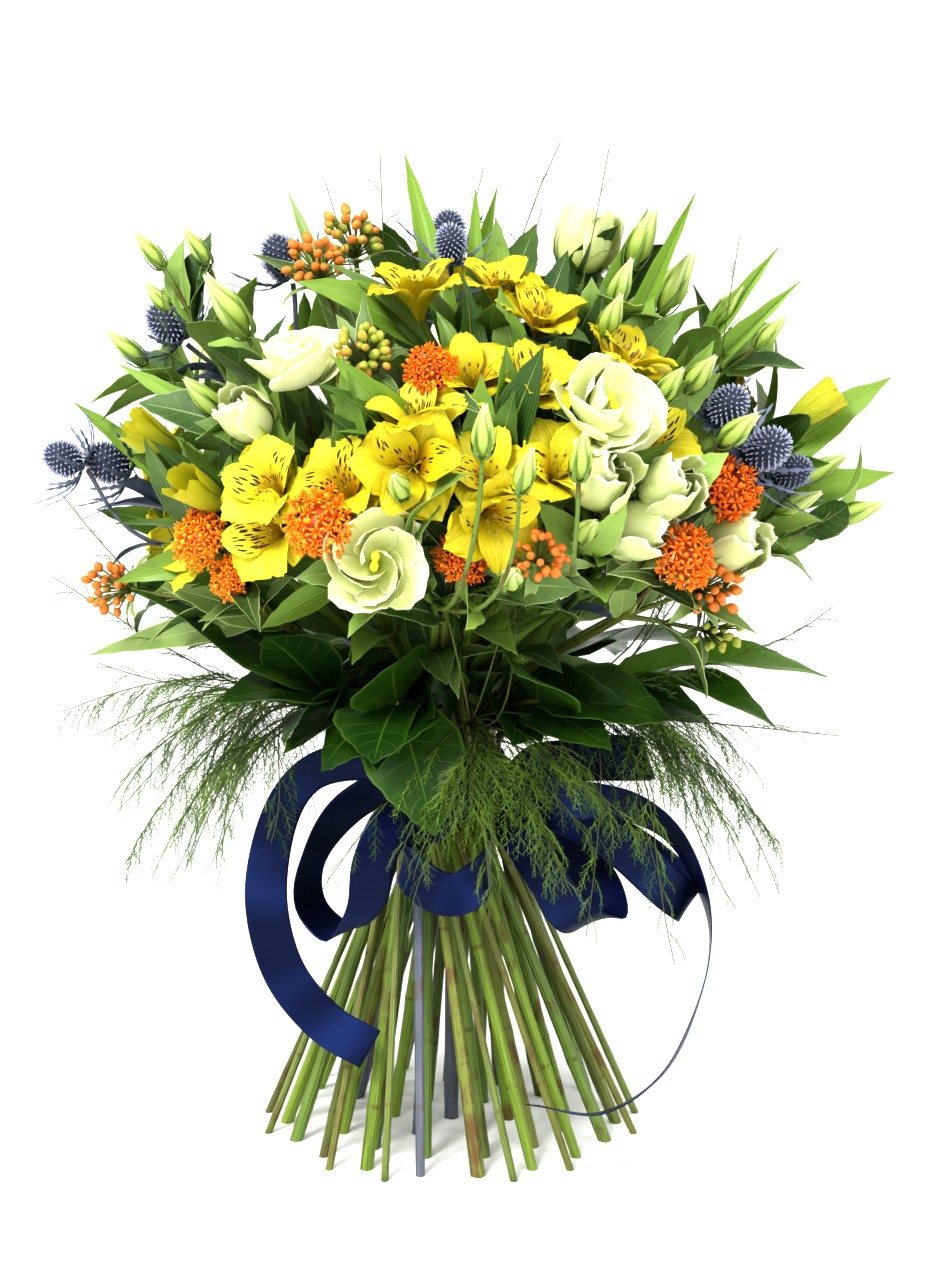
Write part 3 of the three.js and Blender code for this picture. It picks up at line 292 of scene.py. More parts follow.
# The collar: salal with broad leaves, and asparagus fern. A stem's place, its azimuth, and the
# tips of its leaves or fronds, each with its half width or its number of twigs.
COLLAR = [
    ("fern_left", -4, -68, [(-200, -10, 165, 24), (-165, -60, 190, 18), (-235, -20, 262, 24)]),
    ("salal_left", -3, -48, [(-132, -92, 280, 27), (-205, -30, 345, 22), (-104, -112, 322, 20)]),
    ("salal_front", -1, -18, [(-42, -138, 254, 27), (-74, -92, 240, 25), (-8, -128, 210, 26),
                              (-28, -140, 312, 24)]),
    ("fern_front", 0, 8, [(62, -131, 191, 24), (110, -111, 204, 18), (12, -149, 226, 18)]),
    ("salal_right", 2, 32, [(38, -150, 306, 26), (128, -82, 268, 25)]),
    ("fern_right", 3, 60, [(198, -40, 185, 24), (160, -80, 205, 24)]),
    ("salal_far_right", 4, 76, [(228, -10, 282, 25), (190, -70, 262, 22)]),
    ("fern_back_right", 6, 112, [(195, 95, 200, 18), (150, 150, 180, 12)]),
    ("salal_back_right", 7, 138, [(180, 130, 275, 26), (110, 165, 268, 25)]),
    ("salal_back", 9, 168, [(50, 205, 272, 26), (-10, 190, 245, 25)]),
    ("fern_back", 10, 192, [(-60, 200, 185, 18), (5, 215, 195, 12)]),
    ("salal_back_left", 12, 225, [(-110, 170, 262, 26), (-175, 125, 278, 25)]),
    ("fern_far_left", 13, 250, [(-212, 76, 192, 18), (-146, 146, 183, 12)]),
]
COLLAR_RISE = 12

drawn = 7


def draw():
    """A repeatable draw between 0 and 1"""
    global drawn
    drawn = drawn * 16807 % 2147483647
    return drawn / 2147483647


def heading(azimuth, elevation):
    a, e = radians(azimuth), radians(elevation)
    return Vector((cos(e) * sin(a), -cos(e) * cos(a), sin(e)))


def bezier(handles, t):
    a, b, c, d = handles
    s = 1 - t
    return a * s ** 3 + b * 3 * s * s * t + c * 3 * s * t * t + d * t ** 3


def curve(handles, steps):
    return [bezier(handles, step / steps) for step in range(steps + 1)]


def measured(points):
    """A polyline as an array, and how far along it each point lies"""
    line = np.array([tuple(point) for point in points])
    steps = np.linalg.norm(np.diff(line[:, :3], axis=0), axis=1)
    return line, np.concatenate([[0], np.cumsum(steps)])


def read_evenly(line, run, count):
    places = np.linspace(0, run[-1], count)
    return np.stack([np.interp(places, run, column) for column in line.T], axis=1)


def along(points, spacing):
    """Points at an even spacing along a polyline"""
    line, run = measured(points)
    return read_evenly(line, run, max(3, ceil(run[-1] / spacing) + 1))


room = np.empty((0, 4))
room_owner = np.empty(0, dtype=object)


def take(points, radius, owner):
    """Room already taken, as balls, so that what comes later is bent clear of it"""
    global room, room_owner
    room = np.vstack([room, [(*point, radius) for point in points]])
    room_owner = np.append(room_owner, [owner] * len(points))


def crowding(points, radius, owners):
    """How deep balls lie in the room that others have taken"""
    others = room[~np.isin(room_owner, owners)]
    apart = np.linalg.norm(np.array(points)[:, None, :] - others[None, :, :3], axis=2)
    lack = np.clip(radius + others[:, 3] + 1 - apart, 0, None)
    return float((lack * lack).sum())


def least(options):
    """The option with the lowest score, which comes first in each"""
    return min(options, key=lambda option: option[0])


def head_at(form, azimuth, elevation, reach=1, size=1, *face):
    a, e = radians(azimuth), radians(elevation)
    rise = DOME_UP if elevation > 0 else DOME_DOWN
    out = cos(e) * DOME_SIDE * reach
    middle = Vector((out * sin(a) + DOME_X, -out * cos(a), DOME_Z + sin(e) * rise * reach))
    facing = heading(*face) if face else (middle - FACED_FROM).normalized()
    depth, radius = HEAD_ROOM[form]
    return SimpleNamespace(form=form, size=size, middle=middle, facing=facing,
                           base=middle - facing * depth * size, radius=radius * size)


def lay_stem(stem):
    """Straight from the cut end to the tie, then curving out to the fork"""
    places, at_tie, at_foot, first, tied = RINGS[stem.ring]
    turn = (stem.place + first) * 360 / places + TURN_ABOVE
    tie = heading(turn, 0) * at_tie + Vector((0, 0, TIE_HEIGHT))
    foot = heading(turn + TURN_BELOW, 0) * at_foot
    if stem.ring == COLLAR_RING:
        wide, neck, end = THIN_FOOT_RADIUS, THIN_STEM_RADIUS, THIN_FORK_RADIUS
    else:
        wide = FOOT_RADIUS[0] + (FOOT_RADIUS[1] - FOOT_RADIUS[0]) * draw()
        neck, end = STEM_RADIUS, FORK_RADIUS
    up = (tie - foot).normalized()
    span = (stem.fork - tie).length * 0.36
    handles = (tie, tie + up * span, stem.fork - stem.aim * span, stem.fork)
    shares = (0, 0.25, 0.5, 0.75, 1)
    stem.points = [foot.lerp(tie, share) for share in shares] + curve(handles, 7)[1:]
    stem.radii = [wide + (tied - wide) * share for share in shares]
    stem.radii += [neck] * 5 + [(neck + end) / 2, end]


stems = []
for name, ring, place, given in FLOWERING:
    heads = [head_at(*head) for head in given]
    mean = sum((head.base for head in heads), Vector()) / len(heads)
    stems.append(SimpleNamespace(
        name=name, ring=ring, place=place, heads=heads, fork=BRANCHED_FROM.lerp(mean, FORK_AT),
        aim=(mean - BRANCHED_FROM).normalized()))
for name, place, azimuth, tips in COLLAR:
    reach, height = COLLAR_FORK[name.split("_")[0]]
    stems.append(SimpleNamespace(
        name=name, ring=COLLAR_RING, place=place, heads=[], tips=tips,
        fork=heading(azimuth, 0) * reach + Vector((0, 0, height)),
        aim=heading(azimuth, COLLAR_RISE)))

for stem in stems:
    lay_stem(stem)
    take(along(stem.points[4:], 6), STEM_RADIUS, stem.name)
for stem in stems:
    for i, head in enumerate(stem.heads):
        take([head.middle], head.radius, f"{stem.name} {i}")

# A stalk is bowed aside where it would run through a neighbour's bloom
for stem in stems:
    for i, head in enumerate(stem.heads):
        start = stem.fork - stem.aim
        seat = head.base - head.facing * 6
        ahead = (head.base - start).normalized()
        side = Vector((0, 0, 1)).cross(ahead).normalized()
        over = side.cross(ahead)
        routes = []
        for reach in (0,) if i == 0 else (0, 6, 12, 20):
            for turn in range(8 if reach else 1):
                bow = side * cos(turn * pi / 4) * reach + over * sin(turn * pi / 4) * reach
                bend = start.lerp(head.base, 0.5) + bow * 2 - ahead * 4 + stem.aim * 4
                route = curve((start, bend, seat, head.base), ROUTE_STEPS)
                crowd = crowding(along(route, 5)[1:], STALK_RADIUS,
                                 [stem.name, f"{stem.name} {i}"])
                routes.append((crowd + reach * 0.02, route))
        head.route = least(routes)[1]
        take(along(head.route, 5), STALK_RADIUS, stem.name)

# Blooms that lie over their neighbours, as the front rose on the edge of an orange cluster: how
# far each is drawn out of the bunch, and its size
DRAWN_OUT = {
    "lisianthus_front": (Vector((4, -7, 0)), 0.93),
    "milkweed_front": (Vector((3, -11, 8)), 1),
    "lisianthus_middle_right": (Vector((2, -5, 1)), 1),
}
for stem in stems:
    if stem.name in DRAWN_OUT:
        head = stem.heads[0]
        shift, size = DRAWN_OUT[stem.name]
        head.route = [place + shift * (step / ROUTE_STEPS) ** 2
                      for step, place in enumerate(head.route)]
        head.base = head.base + shift
        head.size *= size

# Stems, stalks and leaves, for every plant
# A stem is a ridged green tube, a little swollen at its joints and cut square at the foot.
# Leaves are thin blades that arch away from it. All are bent grids, laid out along and across.
PETAL_THICK = 0.35
LEAF_THICK = 0.006
RIM_ANGLE = 1.0
JOINTS = 5
STALK_RADII = (2.1, 1.6, 1.4, 1.3, 1.5)


def bunch():
    """An empty plant or head that forms are put into"""
    plant = bmesh.new()
    plant.loops.layers.uv.new("surface")
    plant.verts.layers.float.new("tint")
    return plant


def coated(form, material, uv, smooth=True):
    """Gives every face its finish, and its corners their place along and across"""
    surface = form.loops.layers.uv["surface"]
    for face in form.faces:
        face.material_index = material
        face.smooth = smooth
        for loop in face.loops:
            loop[surface].uv = uv(loop.vert.co)


def skin(rows, columns, rule, thick=PETAL_THICK, tube=False, material=0):
    """A grid bent by a rule of its place along and across, both from 0 to 1"""
    form = bunch()
    bmesh.ops.create_grid(form, x_segments=rows, y_segments=columns, size=0.5)
    coated(form, material, lambda co: (co.x + 0.5, co.y + 0.5))
    for vert in form.verts:
        vert.co = rule(vert.co.x + 0.5, vert.co.y + 0.5)
    if tube:
        bmesh.ops.remove_doubles(form, verts=form.verts, dist=1e-4)
        rims = [edge for edge in form.edges if edge.is_boundary]
        if rims:
            ends = bmesh.ops.edgeloop_fill(form, edges=rims, mat_nr=material)["faces"]
            bmesh.ops.triangulate(form, faces=ends)
        bmesh.ops.recalc_face_normals(form, faces=form.faces)
    elif thick:
        bmesh.ops.solidify(form, geom=form.faces[:], thickness=thick)
        for edge in form.edges:
            edge.smooth = edge.calc_face_angle(0) < RIM_ANGLE
    return gathered(form)


def put(plant, form, place=Matrix(), tint=None):
    copy = form.copy()
    copy.transform(place)
    if tint is not None:
        copy.attributes["tint"].data.foreach_set("value", np.full(len(copy.vertices), tint))
    plant.from_mesh(copy)
    bpy.data.meshes.remove(copy)


def eased(values, t):
    """A row of values read at t from 0 to 1, with soft steps between them"""
    place = min(max(t, 0), 1) * (len(values) - 1)
    i = min(int(place), len(values) - 2)
    share = place - i
    return values[i] + (values[i + 1] - values[i]) * share * share * (3 - 2 * share)


def stalk(points, radii, sides=6, joints=(), spacing=9, material=0):
    """A tapered tube through a row of points, a little swollen at its joints"""
    line = along(points, 3)
    line[1:-1] = (line[:-2] + 2 * line[1:-1] + line[2:]) / 4
    rows = max(2, ceil(len(line) * 3 / spacing))
    last = len(line) - 1
    widths = np.interp(np.linspace(0, 1, rows + 1), np.linspace(0, 1, len(radii)), radii)
    axes = []
    side = Vector((1, 0.2, 0))
    for i in range(rows + 1):
        j = round(i * last / rows)
        ahead = Vector(line[min(j + 1, last)]) - Vector(line[max(j - 1, 0)])
        cut_end = i == 0 and line[0][2] < 0.1
        ahead = Vector((0, 0, 1)) if cut_end else ahead.normalized()
        side = (side - ahead * side.dot(ahead)).normalized()
        axes.append((Vector(line[j]), side, ahead.cross(side)))

    def rule(u, v):
        row = round(u * rows)
        middle, across, over = axes[row]
        swell = 1 + sum(0.14 * max(0, 1 - abs(u - joint) * 50) for joint in joints)
        radius = widths[row] * swell * (1 + 0.05 * cos(8 * pi * v))
        return middle + across * cos(2 * pi * v) * radius + over * sin(2 * pi * v) * radius

    return skin(rows, sides, rule, tube=True, material=material)


def blades(widths, shape, material, bends, rows=12, columns=4):
    """Leaves one unit long and one unit to each side, each with its own bend in degrees, fold,
    twist and wave; shape is half a leaf's real width over its real length"""
    def blade(bend, fold, twist, wave):
        arc = radians(bend)
        length = (arc / 2) / sin(arc / 2)

        def rule(u, v):
            s = 2 * v - 1
            turned = arc * u
            x = s * eased(widths, u)
            lift = (abs(x) * fold + wave * abs(x) * sin(9 * u + 2 * s)) * shape
            y = length * sin(turned) / arc + sin(turned) * lift
            z = -length * (1 - cos(turned)) / arc + cos(turned) * lift
            roll = radians(twist) * u
            x, z = x * cos(roll), z + x * sin(roll) * shape
            half = arc / 2
            return Vector((y * cos(half) - z * sin(half), x, y * sin(half) + z * cos(half)))

        return skin(rows, columns, rule, thick=LEAF_THICK, material=material)

    return [blade(*bend) for bend in bends]


def leaf_place(base, tip, half, up):
    ahead = tip - base
    length = ahead.length
    ahead = ahead.normalized()
    face = (up - ahead * up.dot(ahead)).normalized()
    turn = Matrix((ahead, face.cross(ahead), face)).transposed().to_4x4()
    return Matrix.Translation(base) @ turn @ Matrix.Diagonal((length, half, length, 1))


def leaf_samples(base, tip, half, up):
    """Points over a leaf at which its room is tested"""
    ahead = tip - base
    side = ahead.cross(up).normalized()
    points = []
    for share in (0.3, 0.5, 0.7, 0.9):
        wide = half * (0.75 if share < 0.8 else 0.35)
        middle = base + ahead * share + up * sin(pi * share) * 4
        points += [middle, middle + side * wide, middle - side * wide]
    return points


def grow_leaf(plant, owner, form, base, tip, half, up, tint):
    """A leaf rolls about its rib to where it has most room"""
    ahead = (tip - base).normalized()
    rolls = []
    for roll in (0, 25, -25, 50, -50):
        turned = Quaternion(ahead, radians(roll)) @ up
        samples = leaf_samples(base, tip, half, turned)
        score = crowding(samples, 1, [owner]) + abs(roll) * 0.02
        rolls.append(((score, roll), turned, samples))
    _, turned, samples = least(rolls)
    take(samples, 1, owner)
    put(plant, form, leaf_place(base, tip, half, turned), tint)


def beyond(tip):
    """How far the tip of a leaf lies outside the outline of the bunch"""
    rise = tip.z - DOME_Z
    return max(0, hypot((tip.x - DOME_X) / 240, tip.y / 212, rise / (185 if rise > 0 else 190)) - 1)


def leafy(plant, stem, forms, length, half, count, lean, tint):
    """Leaves by rule up a stem and its stalks, each turned round to where it has room"""
    runs = [stem.points[5:]] + [head.route for head in stem.heads]
    for k in range(count):
        run = along(runs[k % len(runs)], 4)
        share = 0.12 + 0.84 * (k * 0.618 % 1)
        spot = int(share * (len(run) - 2))
        base = Vector(run[spot])
        ahead = (Vector(run[spot + 1]) - base).normalized()
        side = Vector((0, 0, 1)).cross(ahead).normalized()
        over = side.cross(ahead)
        size = 0.75 + 0.45 * draw()
        turns = []
        for turn in range(8):
            a = radians(45 * turn + 20 * k)
            out = (ahead * lean + (side * cos(a) + over * sin(a)) * 0.75).normalized()
            tip = base + out * length * size
            up = (ahead - out * ahead.dot(out)).normalized()
            crowd = crowding(leaf_samples(base, tip, half, up), 1, [stem.name])
            turns.append((crowd + beyond(tip) * 2000 + turn * 0.01, tip, up))
        _, tip, up = least(turns)
        form = forms[int(draw() * len(forms))]
        grow_leaf(plant, stem.name, form, base, tip, half * size, up, draw() * tint)


def stood(place, facing, spin=0, size=1):
    """Stands a form at a point, looking along a direction"""
    turn = facing.to_track_quat("Z", "Y") @ Quaternion((0, 0, 1), spin)
    return Matrix.Translation(place) @ turn.to_matrix().to_4x4() @ Matrix.Scale(size, 4)


def around(index, count, tilt=0, offset=0):
    """The turn of one petal of a whorl"""
    turn = 2 * pi * (index + offset) / count
    return Matrix.Rotation(turn, 4, "Z") @ Matrix.Rotation(radians(tilt), 4, "X")


def petal(line, half, widths, grid, cup=0.0, wrap=0.0, rounded=0.0, ruffle=0.0, waves=3,
          point=0.0, phase=0.0, swirl=0.0, ragged=0.0, material=1):
    """A petal on the +X side of the axis. Its middle line has four handles of radius and
    height; it cups towards the axis or wraps round it, one side tucked in by a swirl. Its
    edge is ruffled, and its tip is pointed or torn."""
    handles = [Vector(place) for place in line]

    def rule(u, v):
        s = 2 * v - 1
        t = u * (1 - rounded * s * s * u)
        place = bezier(handles, t)
        ahead = bezier(handles, min(1, t + 0.01)) - bezier(handles, max(0, t - 0.01))
        ahead.normalize()
        inward = Vector((-ahead.y, ahead.x))
        wide = half * eased(widths, u)
        edge = u * u * (0.25 + abs(s) ** 1.5)
        ripple = sin(waves * pi * (1.3 * u * s + 0.5 * s) + phase)
        lift = cup * wide * s * s + ruffle * edge * ripple
        end = max(0, u - 0.85) / 0.15
        torn = point * max(0, 1 - abs(s) * 3) + ragged * sin(9 * s + 2 * phase)
        place = place + inward * (lift + swirl * s * u) + ahead * end * torn
        angle = s * wide / max(place.x, 2.5)
        flat = Vector((place.x, s * wide, place.y))
        round_axis = Vector((place.x * cos(angle), place.x * sin(angle), place.y))
        return flat.lerp(round_axis, wrap)

    return skin(*grid, rule, material=material)


def ball(columns, rows, scale, place=(0, 0, 0), material=1, rule=Vector):
    """A closed rounded form, a unit ball shaped by a rule and stretched"""
    form = bunch()
    bmesh.ops.create_uvsphere(form, u_segments=columns, v_segments=rows, radius=1)
    coated(form, material, lambda co: (co.z / 2 + 0.5, atan2(co.y, co.x) / (2 * pi) + 0.5))
    for vert in form.verts:
        shaped = zip(rule(vert.co), scale, place)
        vert.co = Vector([value * stretch + shift for value, stretch, shift in shaped])
    return gathered(form)


def coats(wire):
    """What plant finishes read: the place along and across a surface, and its draw"""
    places = wire.node("ShaderNodeUVMap", {"uv_map": "surface"}, {})
    up, side = (wire.node("ShaderNodeSeparateXYZ", {}, {0: places}, out=out) for out in (0, 1))
    return up, side, wire.node("ShaderNodeAttribute", {"attribute_name": "tint"}, {}, out=2)


def stem_skin(name, deep, light, scar, bloom=0.0):
    """Ridged stem skin, lighter and darker by streaks, with brown scars and faint rings"""
    material, wire = finish(name, 0.42, glow=0.08, depth=(0.002, 0.003, 0.001))
    up, side, tint = coats(wire)
    streaks = wire.noise(wire.joined(up * 14, side * 9, tint * 20), 1.0, 4.0)
    green = (streaks * 0.6 + tint * 0.5).over(0.2, 0.8).mixed(deep, light)
    worn = (wire.cloud(38.0, 3.0) * 0.75 + streaks * 0.35).over(0.58, 0.70)
    ring = abs(wire.math("FRACT", up * JOINTS - tint) - 0.5).over(0.475, 0.495)
    scars = wire.math("MAXIMUM", worn, ring * streaks.over(0.42, 0.56)) * 0.8
    scars.mixed(green, scar).feeds("Base Color")
    (0.34 + worn * 0.3 + bloom).feeds("Roughness")
    (wire.math("SINE", side * 2 * pi * 9) * 0.5 + streaks).raises(0.0006)
    return material


def leaf_skin(name, deep, light, rib, roughness, net=0.0, parallel=0.0, rim=0.0, coat=0.0,
              spine=0.07, gloss=0.5):
    """Leaf skin with a pale midrib and either a net of side veins or parallel ones"""
    material, wire = finish(name, roughness, glow=0.06, depth=(0.001, 0.003, 0.001),
                            Coat_Weight=coat, Coat_Roughness=0.2, Specular_IOR_Level=gloss)
    up, side, tint = coats(wire)
    away = abs(side * 2 - 1)
    cloud = wire.cloud(45.0, 4.0)
    middle = 1 - away.over(spine * 0.3, spine)
    slanted = wire.math("SINE", (up * 7.5 - away * 1.1) * 2 * pi)
    nets = slanted.over(0.93, 0.99) * (1 - away.over(0.8, 0.97)) * net
    lines = wire.math("SINE", away * 2 * pi * 5.5).over(0.5, 1.0) * parallel
    veins = wire.math("MAXIMUM", middle, wire.math("MAXIMUM", nets, lines))
    base = (cloud * 0.55 + tint * 0.75).over(0.25, 1.05).mixed(deep, light)
    veined = (veins * 0.55).mixed(base, rib)
    (away.over(0.9, 0.97) * rim).mixed(veined, rib).feeds("Base Color")
    (roughness + cloud * 0.14 - veins * 0.05).feeds("Roughness")
    (cloud * 0.5 - veins * 0.8).raises(0.0008)
    return material


def dressed(name, mesh, skins, node):
    """A finished piece, in metres, riding on the bouquet in its solid's stead"""
    mesh.transform(Matrix.Scale(0.001, 4))
    for one in skins:
        mesh.materials.append(one)
    piece = set_up(name, mesh)
    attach(piece, "root")
    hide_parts(node)
    return piece


def planted(stem, plant, skins):
    name = stem.name + "_grown"
    dressed(name, gathered(plant, name), skins, stem.name)


def begun(kind, green, vary, sides=8):
    """Every stem of a kind, and its plant with the stem and its stalks, greener by a draw"""
    for stem in stems:
        if stem.name.startswith(kind):
            hue = green + vary * draw()
            plant = bunch()
            joints = [(k + hue) / JOINTS for k in range(JOINTS)]
            put(plant, stalk(stem.points, stem.radii, sides, joints), tint=hue)
            for head in stem.heads:
                put(plant, stalk(head.route, STALK_RADII), tint=hue)
            yield stem, plant


LONG_LEAVES = {
    "alstroemeria_right": [((264, 0, 462), 15), ((268, 2, 405), 12.5)],
    "alstroemeria_upper": [((146, 0, 572), 6)],
    "lisianthus_high_right": [((196, 0, 540), 7), ((209, -4, 520), 7)],
    "alstroemeria_top": [((-27, 0, 594), 8), ((15, -5, 574), 6)],
    "milkweed_top_left": [((-98, 20, 573), 8)],
    "alstroemeria_top_back": [((28, 5, 575), 6.5)],
    "lisianthus_top_right": [((118, 0, 563), 8)],
    "lisianthus_left": [((-102, -90, 452), 12), ((-190, -60, 472), 9)],
    "alstroemeria_left": [((-152, -90, 431), 9), ((-226, 0, 447), 8)],
    "alstroemeria_middle": [((30, -122, 472), 8)],
    "milkweed_left": [((-162, -110, 350), 12), ((-219, -10, 295), 9)],
    "alstroemeria_front_left": [((-105, -125, 328), 8)],
    "milkweed_right": [((100, -125, 365), 8), ((112, -100, 405), 14)],
}
FACING_FRONT = Vector((0, -1, 0.35)).normalized()


def grow_long(plant, stem, form):
    """Leaves with a place of their own in the outline, given by tip and half width"""
    for tip, half in LONG_LEAVES.get(stem.name, []):
        place = leaf_place(stem.fork - stem.aim * 3, Vector(tip), half, FACING_FRONT)
        put(plant, form, place, 0.8 + 0.3 * draw())


def set_heads(plant, stem, forms):
    """Each head on the end of its stalk, turned about its own axis by a draw"""
    for head in stem.heads:
        spin, sunk = (6, 0) if head.form == "bud" else (2 * pi, 1.5)
        place = stood(head.base - head.facing * sunk, head.facing, draw() * spin, head.size)
        shapes = forms[head.form]
        put(plant, shapes[int(draw() * len(shapes))], place, tint=draw())


# Lisianthus
# Cream-white blooms of thin ruffled petals in a spiral, half open ones like ragged cups, and
# slim twisted buds, green where they are young. Grey-green leaves clasp the stems.
CREAM = (0.80, 0.83, 0.49)
CUP_CREAM = (0.59, 0.64, 0.31)
YELLOW_GREEN = (0.72, 0.79, 0.22)
WHITE_RIM = (0.87, 0.88, 0.76)
PALE_GREEN = (0.31, 0.42, 0.06)
GROOVE_SHADE_GREEN = (0.13, 0.22, 0.025)
SAGE = (0.045, 0.10, 0.022)
SAGE_LIGHT = (0.28, 0.42, 0.085)
BUD_TWIST = 6


def creamy(name, body, foot, low, high, twist=0):
    """Thin cream petals, green at their feet up to a height, with fine veins and white rims;
    those of a bud are painted a darker green in the grooves where they twist over each other,
    as painted shade"""
    material, wire = finish(name, 0.5, glow=0.2, depth=(0.003, 0.003, 0.002))
    up, side, tint = coats(wire)
    veins = wire.noise(wire.joined(up * 2.5, side * 26, tint * 9), 1.0, 3.0)
    green = 1 - (up + veins * 0.22 + (tint - 0.5) * 0.25).over(low, high)
    rim = wire.math("MAXIMUM", abs(side * 2 - 1).over(0.9, 1.0), up.over(0.92, 1.0)) * 0.85
    colour = (green * 0.85).mixed(rim.mixed(body, WHITE_RIM), foot)
    if twist:
        # Darker green painted into the grooves between the twisted petals: painted shade
        crease = 0 - wire.math("SINE", side * 2 * pi * 5 + up * twist)
        colour = (crease.over(0.45, 1.0) * 0.6).mixed(colour, GROOVE_SHADE_GREEN)
    colour.feeds("Base Color")
    veins.raises(0.0007, 0.5)
    return material


lisianthus_skins = [
    stem_skin("lisianthus_stem", (0.05, 0.09, 0.02), (0.17, 0.26, 0.05), (0.12, 0.07, 0.025)),
    creamy("cream_petal", CREAM, YELLOW_GREEN, -0.1, 0.6),
    leaf_skin("lisianthus_leaf", SAGE, SAGE_LIGHT, (0.36, 0.45, 0.2), 0.48, net=0.35, rim=0.5),
    speckled("yellow_stigma", 0.6, 900.0, 0.15, (0.72, 0.5, 0.01), (0.93, 0.75, 0.05)),
    creamy("young_petal", CUP_CREAM, PALE_GREEN, 0.45, 1.4, BUD_TWIST),
    creamy("cup_petal", CUP_CREAM, YELLOW_GREEN, -0.1, 0.9),
]

# The whorls of a rose, from the outside in: petals, middle line, half width, wrap, tilt, swirl
ROSE_WHORLS = [
    (4, ((2, -2), (16, 0), (22, 10), (27.5, 21)), 24, 0.75, 8, 2.6),
    (3, ((2, -1), (13, 2), (18, 13), (19.5, 25)), 21, 0.92, 9, 2.8),
    (3, ((2, 0), (10, 3), (13, 14), (13, 26)), 14.5, 0.95, 12, 2.8),
]
OBOVATE = [0.2, 0.55, 0.85, 1, 1, 0.86]
SEPAL = [0.8, 1, 0.8, 0.45, 0.05]
BUD_GIRTH = [0.22, 0.72, 1, 1, 0.84, 0.62, 0.4, 0.16]


def sepals(plant, line, half):
    for i in range(5):
        leaf = petal(line, half, SEPAL, (5, 2), material=2)
        put(plant, leaf, around(i, 5, offset=0.3), tint=0.4)


def open_rose(seed):
    plant = bunch()
    for row, (count, line, half, wrap, tilt, swirl) in enumerate(ROSE_WHORLS):
        for i in range(count):
            rise = (i * 0.7 + seed * 0.4) % 1 * 3 - 1.5
            tip = (line[3][0] - rise * 0.8, line[3][1] + rise)
            leaf = petal((*line[:3], tip), half, OBOVATE, (10, 10), cup=0.03, wrap=wrap,
                         rounded=0.16, ruffle=1.3 - 0.3 * row, waves=1.8 + 0.4 * ((i + seed) % 3),
                         phase=1.7 * i + seed, swirl=swirl, ragged=0.35)
            put(plant, leaf, around(i, count, tilt, 0.37 * row))
    put(plant, stalk([(0, 0, 0), (0, 0, 17)], (3.2, 1.2), material=4), tint=0.2)
    for side in (-1, 1):
        put(plant, ball(8, 6, (2.9, 2.3, 1.8), (2.5 * side, 0, 18.5), material=3))
    sepals(plant, ((1.5, -2), (9, -2), (15, 2), (19, 8)), 1.7)
    return gathered(plant)


def ragged_cup(seed):
    plant = bunch()
    for i in range(4):
        tip = (9 + (i + seed) % 2 * 2.5, 37)
        leaf = petal(((2, -2), (18.5, 1), (16.5, 20), tip), 16.5, OBOVATE, (10, 9), wrap=0.95,
                     rounded=0.1, ruffle=1.3, waves=2.6, phase=2.1 * i + seed, swirl=2.2,
                     ragged=1.6, material=5)
        put(plant, leaf, around(i, 4, 7))
    for i in range(3):
        leaf = petal(((2, 0), (12, 4), (12, 20), (5.5, 36)), 10, OBOVATE, (8, 7), wrap=0.95,
                     rounded=0.12, ruffle=0.8, phase=1.3 * i + seed, swirl=1.8, ragged=1.0,
                     material=5)
        put(plant, leaf, around(i, 3, 8, 0.4))
    sepals(plant, ((1.5, -3), (13, -2), (19, 5), (18.5, 20)), 1.9)
    return gathered(plant)


def twisted_bud(seed):
    """Five petals rolled over each other into a point with a feathery tip"""
    def rule(u, v):
        turn = 2 * pi * v
        fold = sin(5 * turn + BUD_TWIST * u)
        radius = (5.6 + 0.3 * seed) * eased(BUD_GIRTH, u) * (1 + 0.14 * fold * u)
        height = 28 * u + (1.1 * fold if u > 0.95 else 0)
        return Vector((radius * cos(turn), radius * sin(turn), height))

    plant = bunch()
    put(plant, skin(14, 20, rule, tube=True, material=4))
    sepals(plant, ((1, -1.5), (6.4, -1), (7.2, 6), (5.9, 19)), 1.5)
    return gathered(plant)


lisianthus_heads = {form: [make(seed) for seed in range(3)] for form, make in
                    {"rose": open_rose, "cup": ragged_cup, "bud": twisted_bud}.items()}
OVATE = [0.25, 0.9, 1, 0.85, 0.5, 0.02]
sage_leaves = blades(OVATE, 0.24, 2, ((20, 0.4, 0, 0.12), (55, 0.3, 25, 0.12),
                                      (38, 0.5, -30, 0.12)))
# Buds that stand out before the yellow blooms on thin curved stalks, as in front at the middle:
# where the stalk bows out, where the bud sits, which way it points, and its size
STANDING_OUT = {
    "lisianthus_front": [((4, -232, 338), (18, -226, 432), (0.05, -0.4, 0.9), 1.05),
                         ((24, -232, 338), (37, -226, 414), (0.25, -0.45, 0.85), 0.95)],
    "lisianthus_middle_right": [((58, -215, 345), (68, -212, 419), (0.1, -0.4, 0.9), 1.0)],
}
for stem, plant in begun("lisianthus", 0.3, 0.6):
    set_heads(plant, stem, lisianthus_heads)
    for bow, seat, facing, size in STANDING_OUT.get(stem.name, []):
        base = Vector(seat)
        handles = (stem.fork - stem.aim, Vector(bow), base + Vector((0, -10, -40)), base)
        put(plant, stalk(curve(handles, 10), (1.5, 1.2)), tint=0.7)
        place = stood(base, Vector(facing).normalized(), 1, size)
        put(plant, lisianthus_heads["bud"][1], place, tint=0.5)
    grow_long(plant, stem, sage_leaves[0])
    leafy(plant, stem, sage_leaves, length=52, half=13, count=15, lean=0.8, tint=0.95)
    planted(stem, plant, lisianthus_skins)

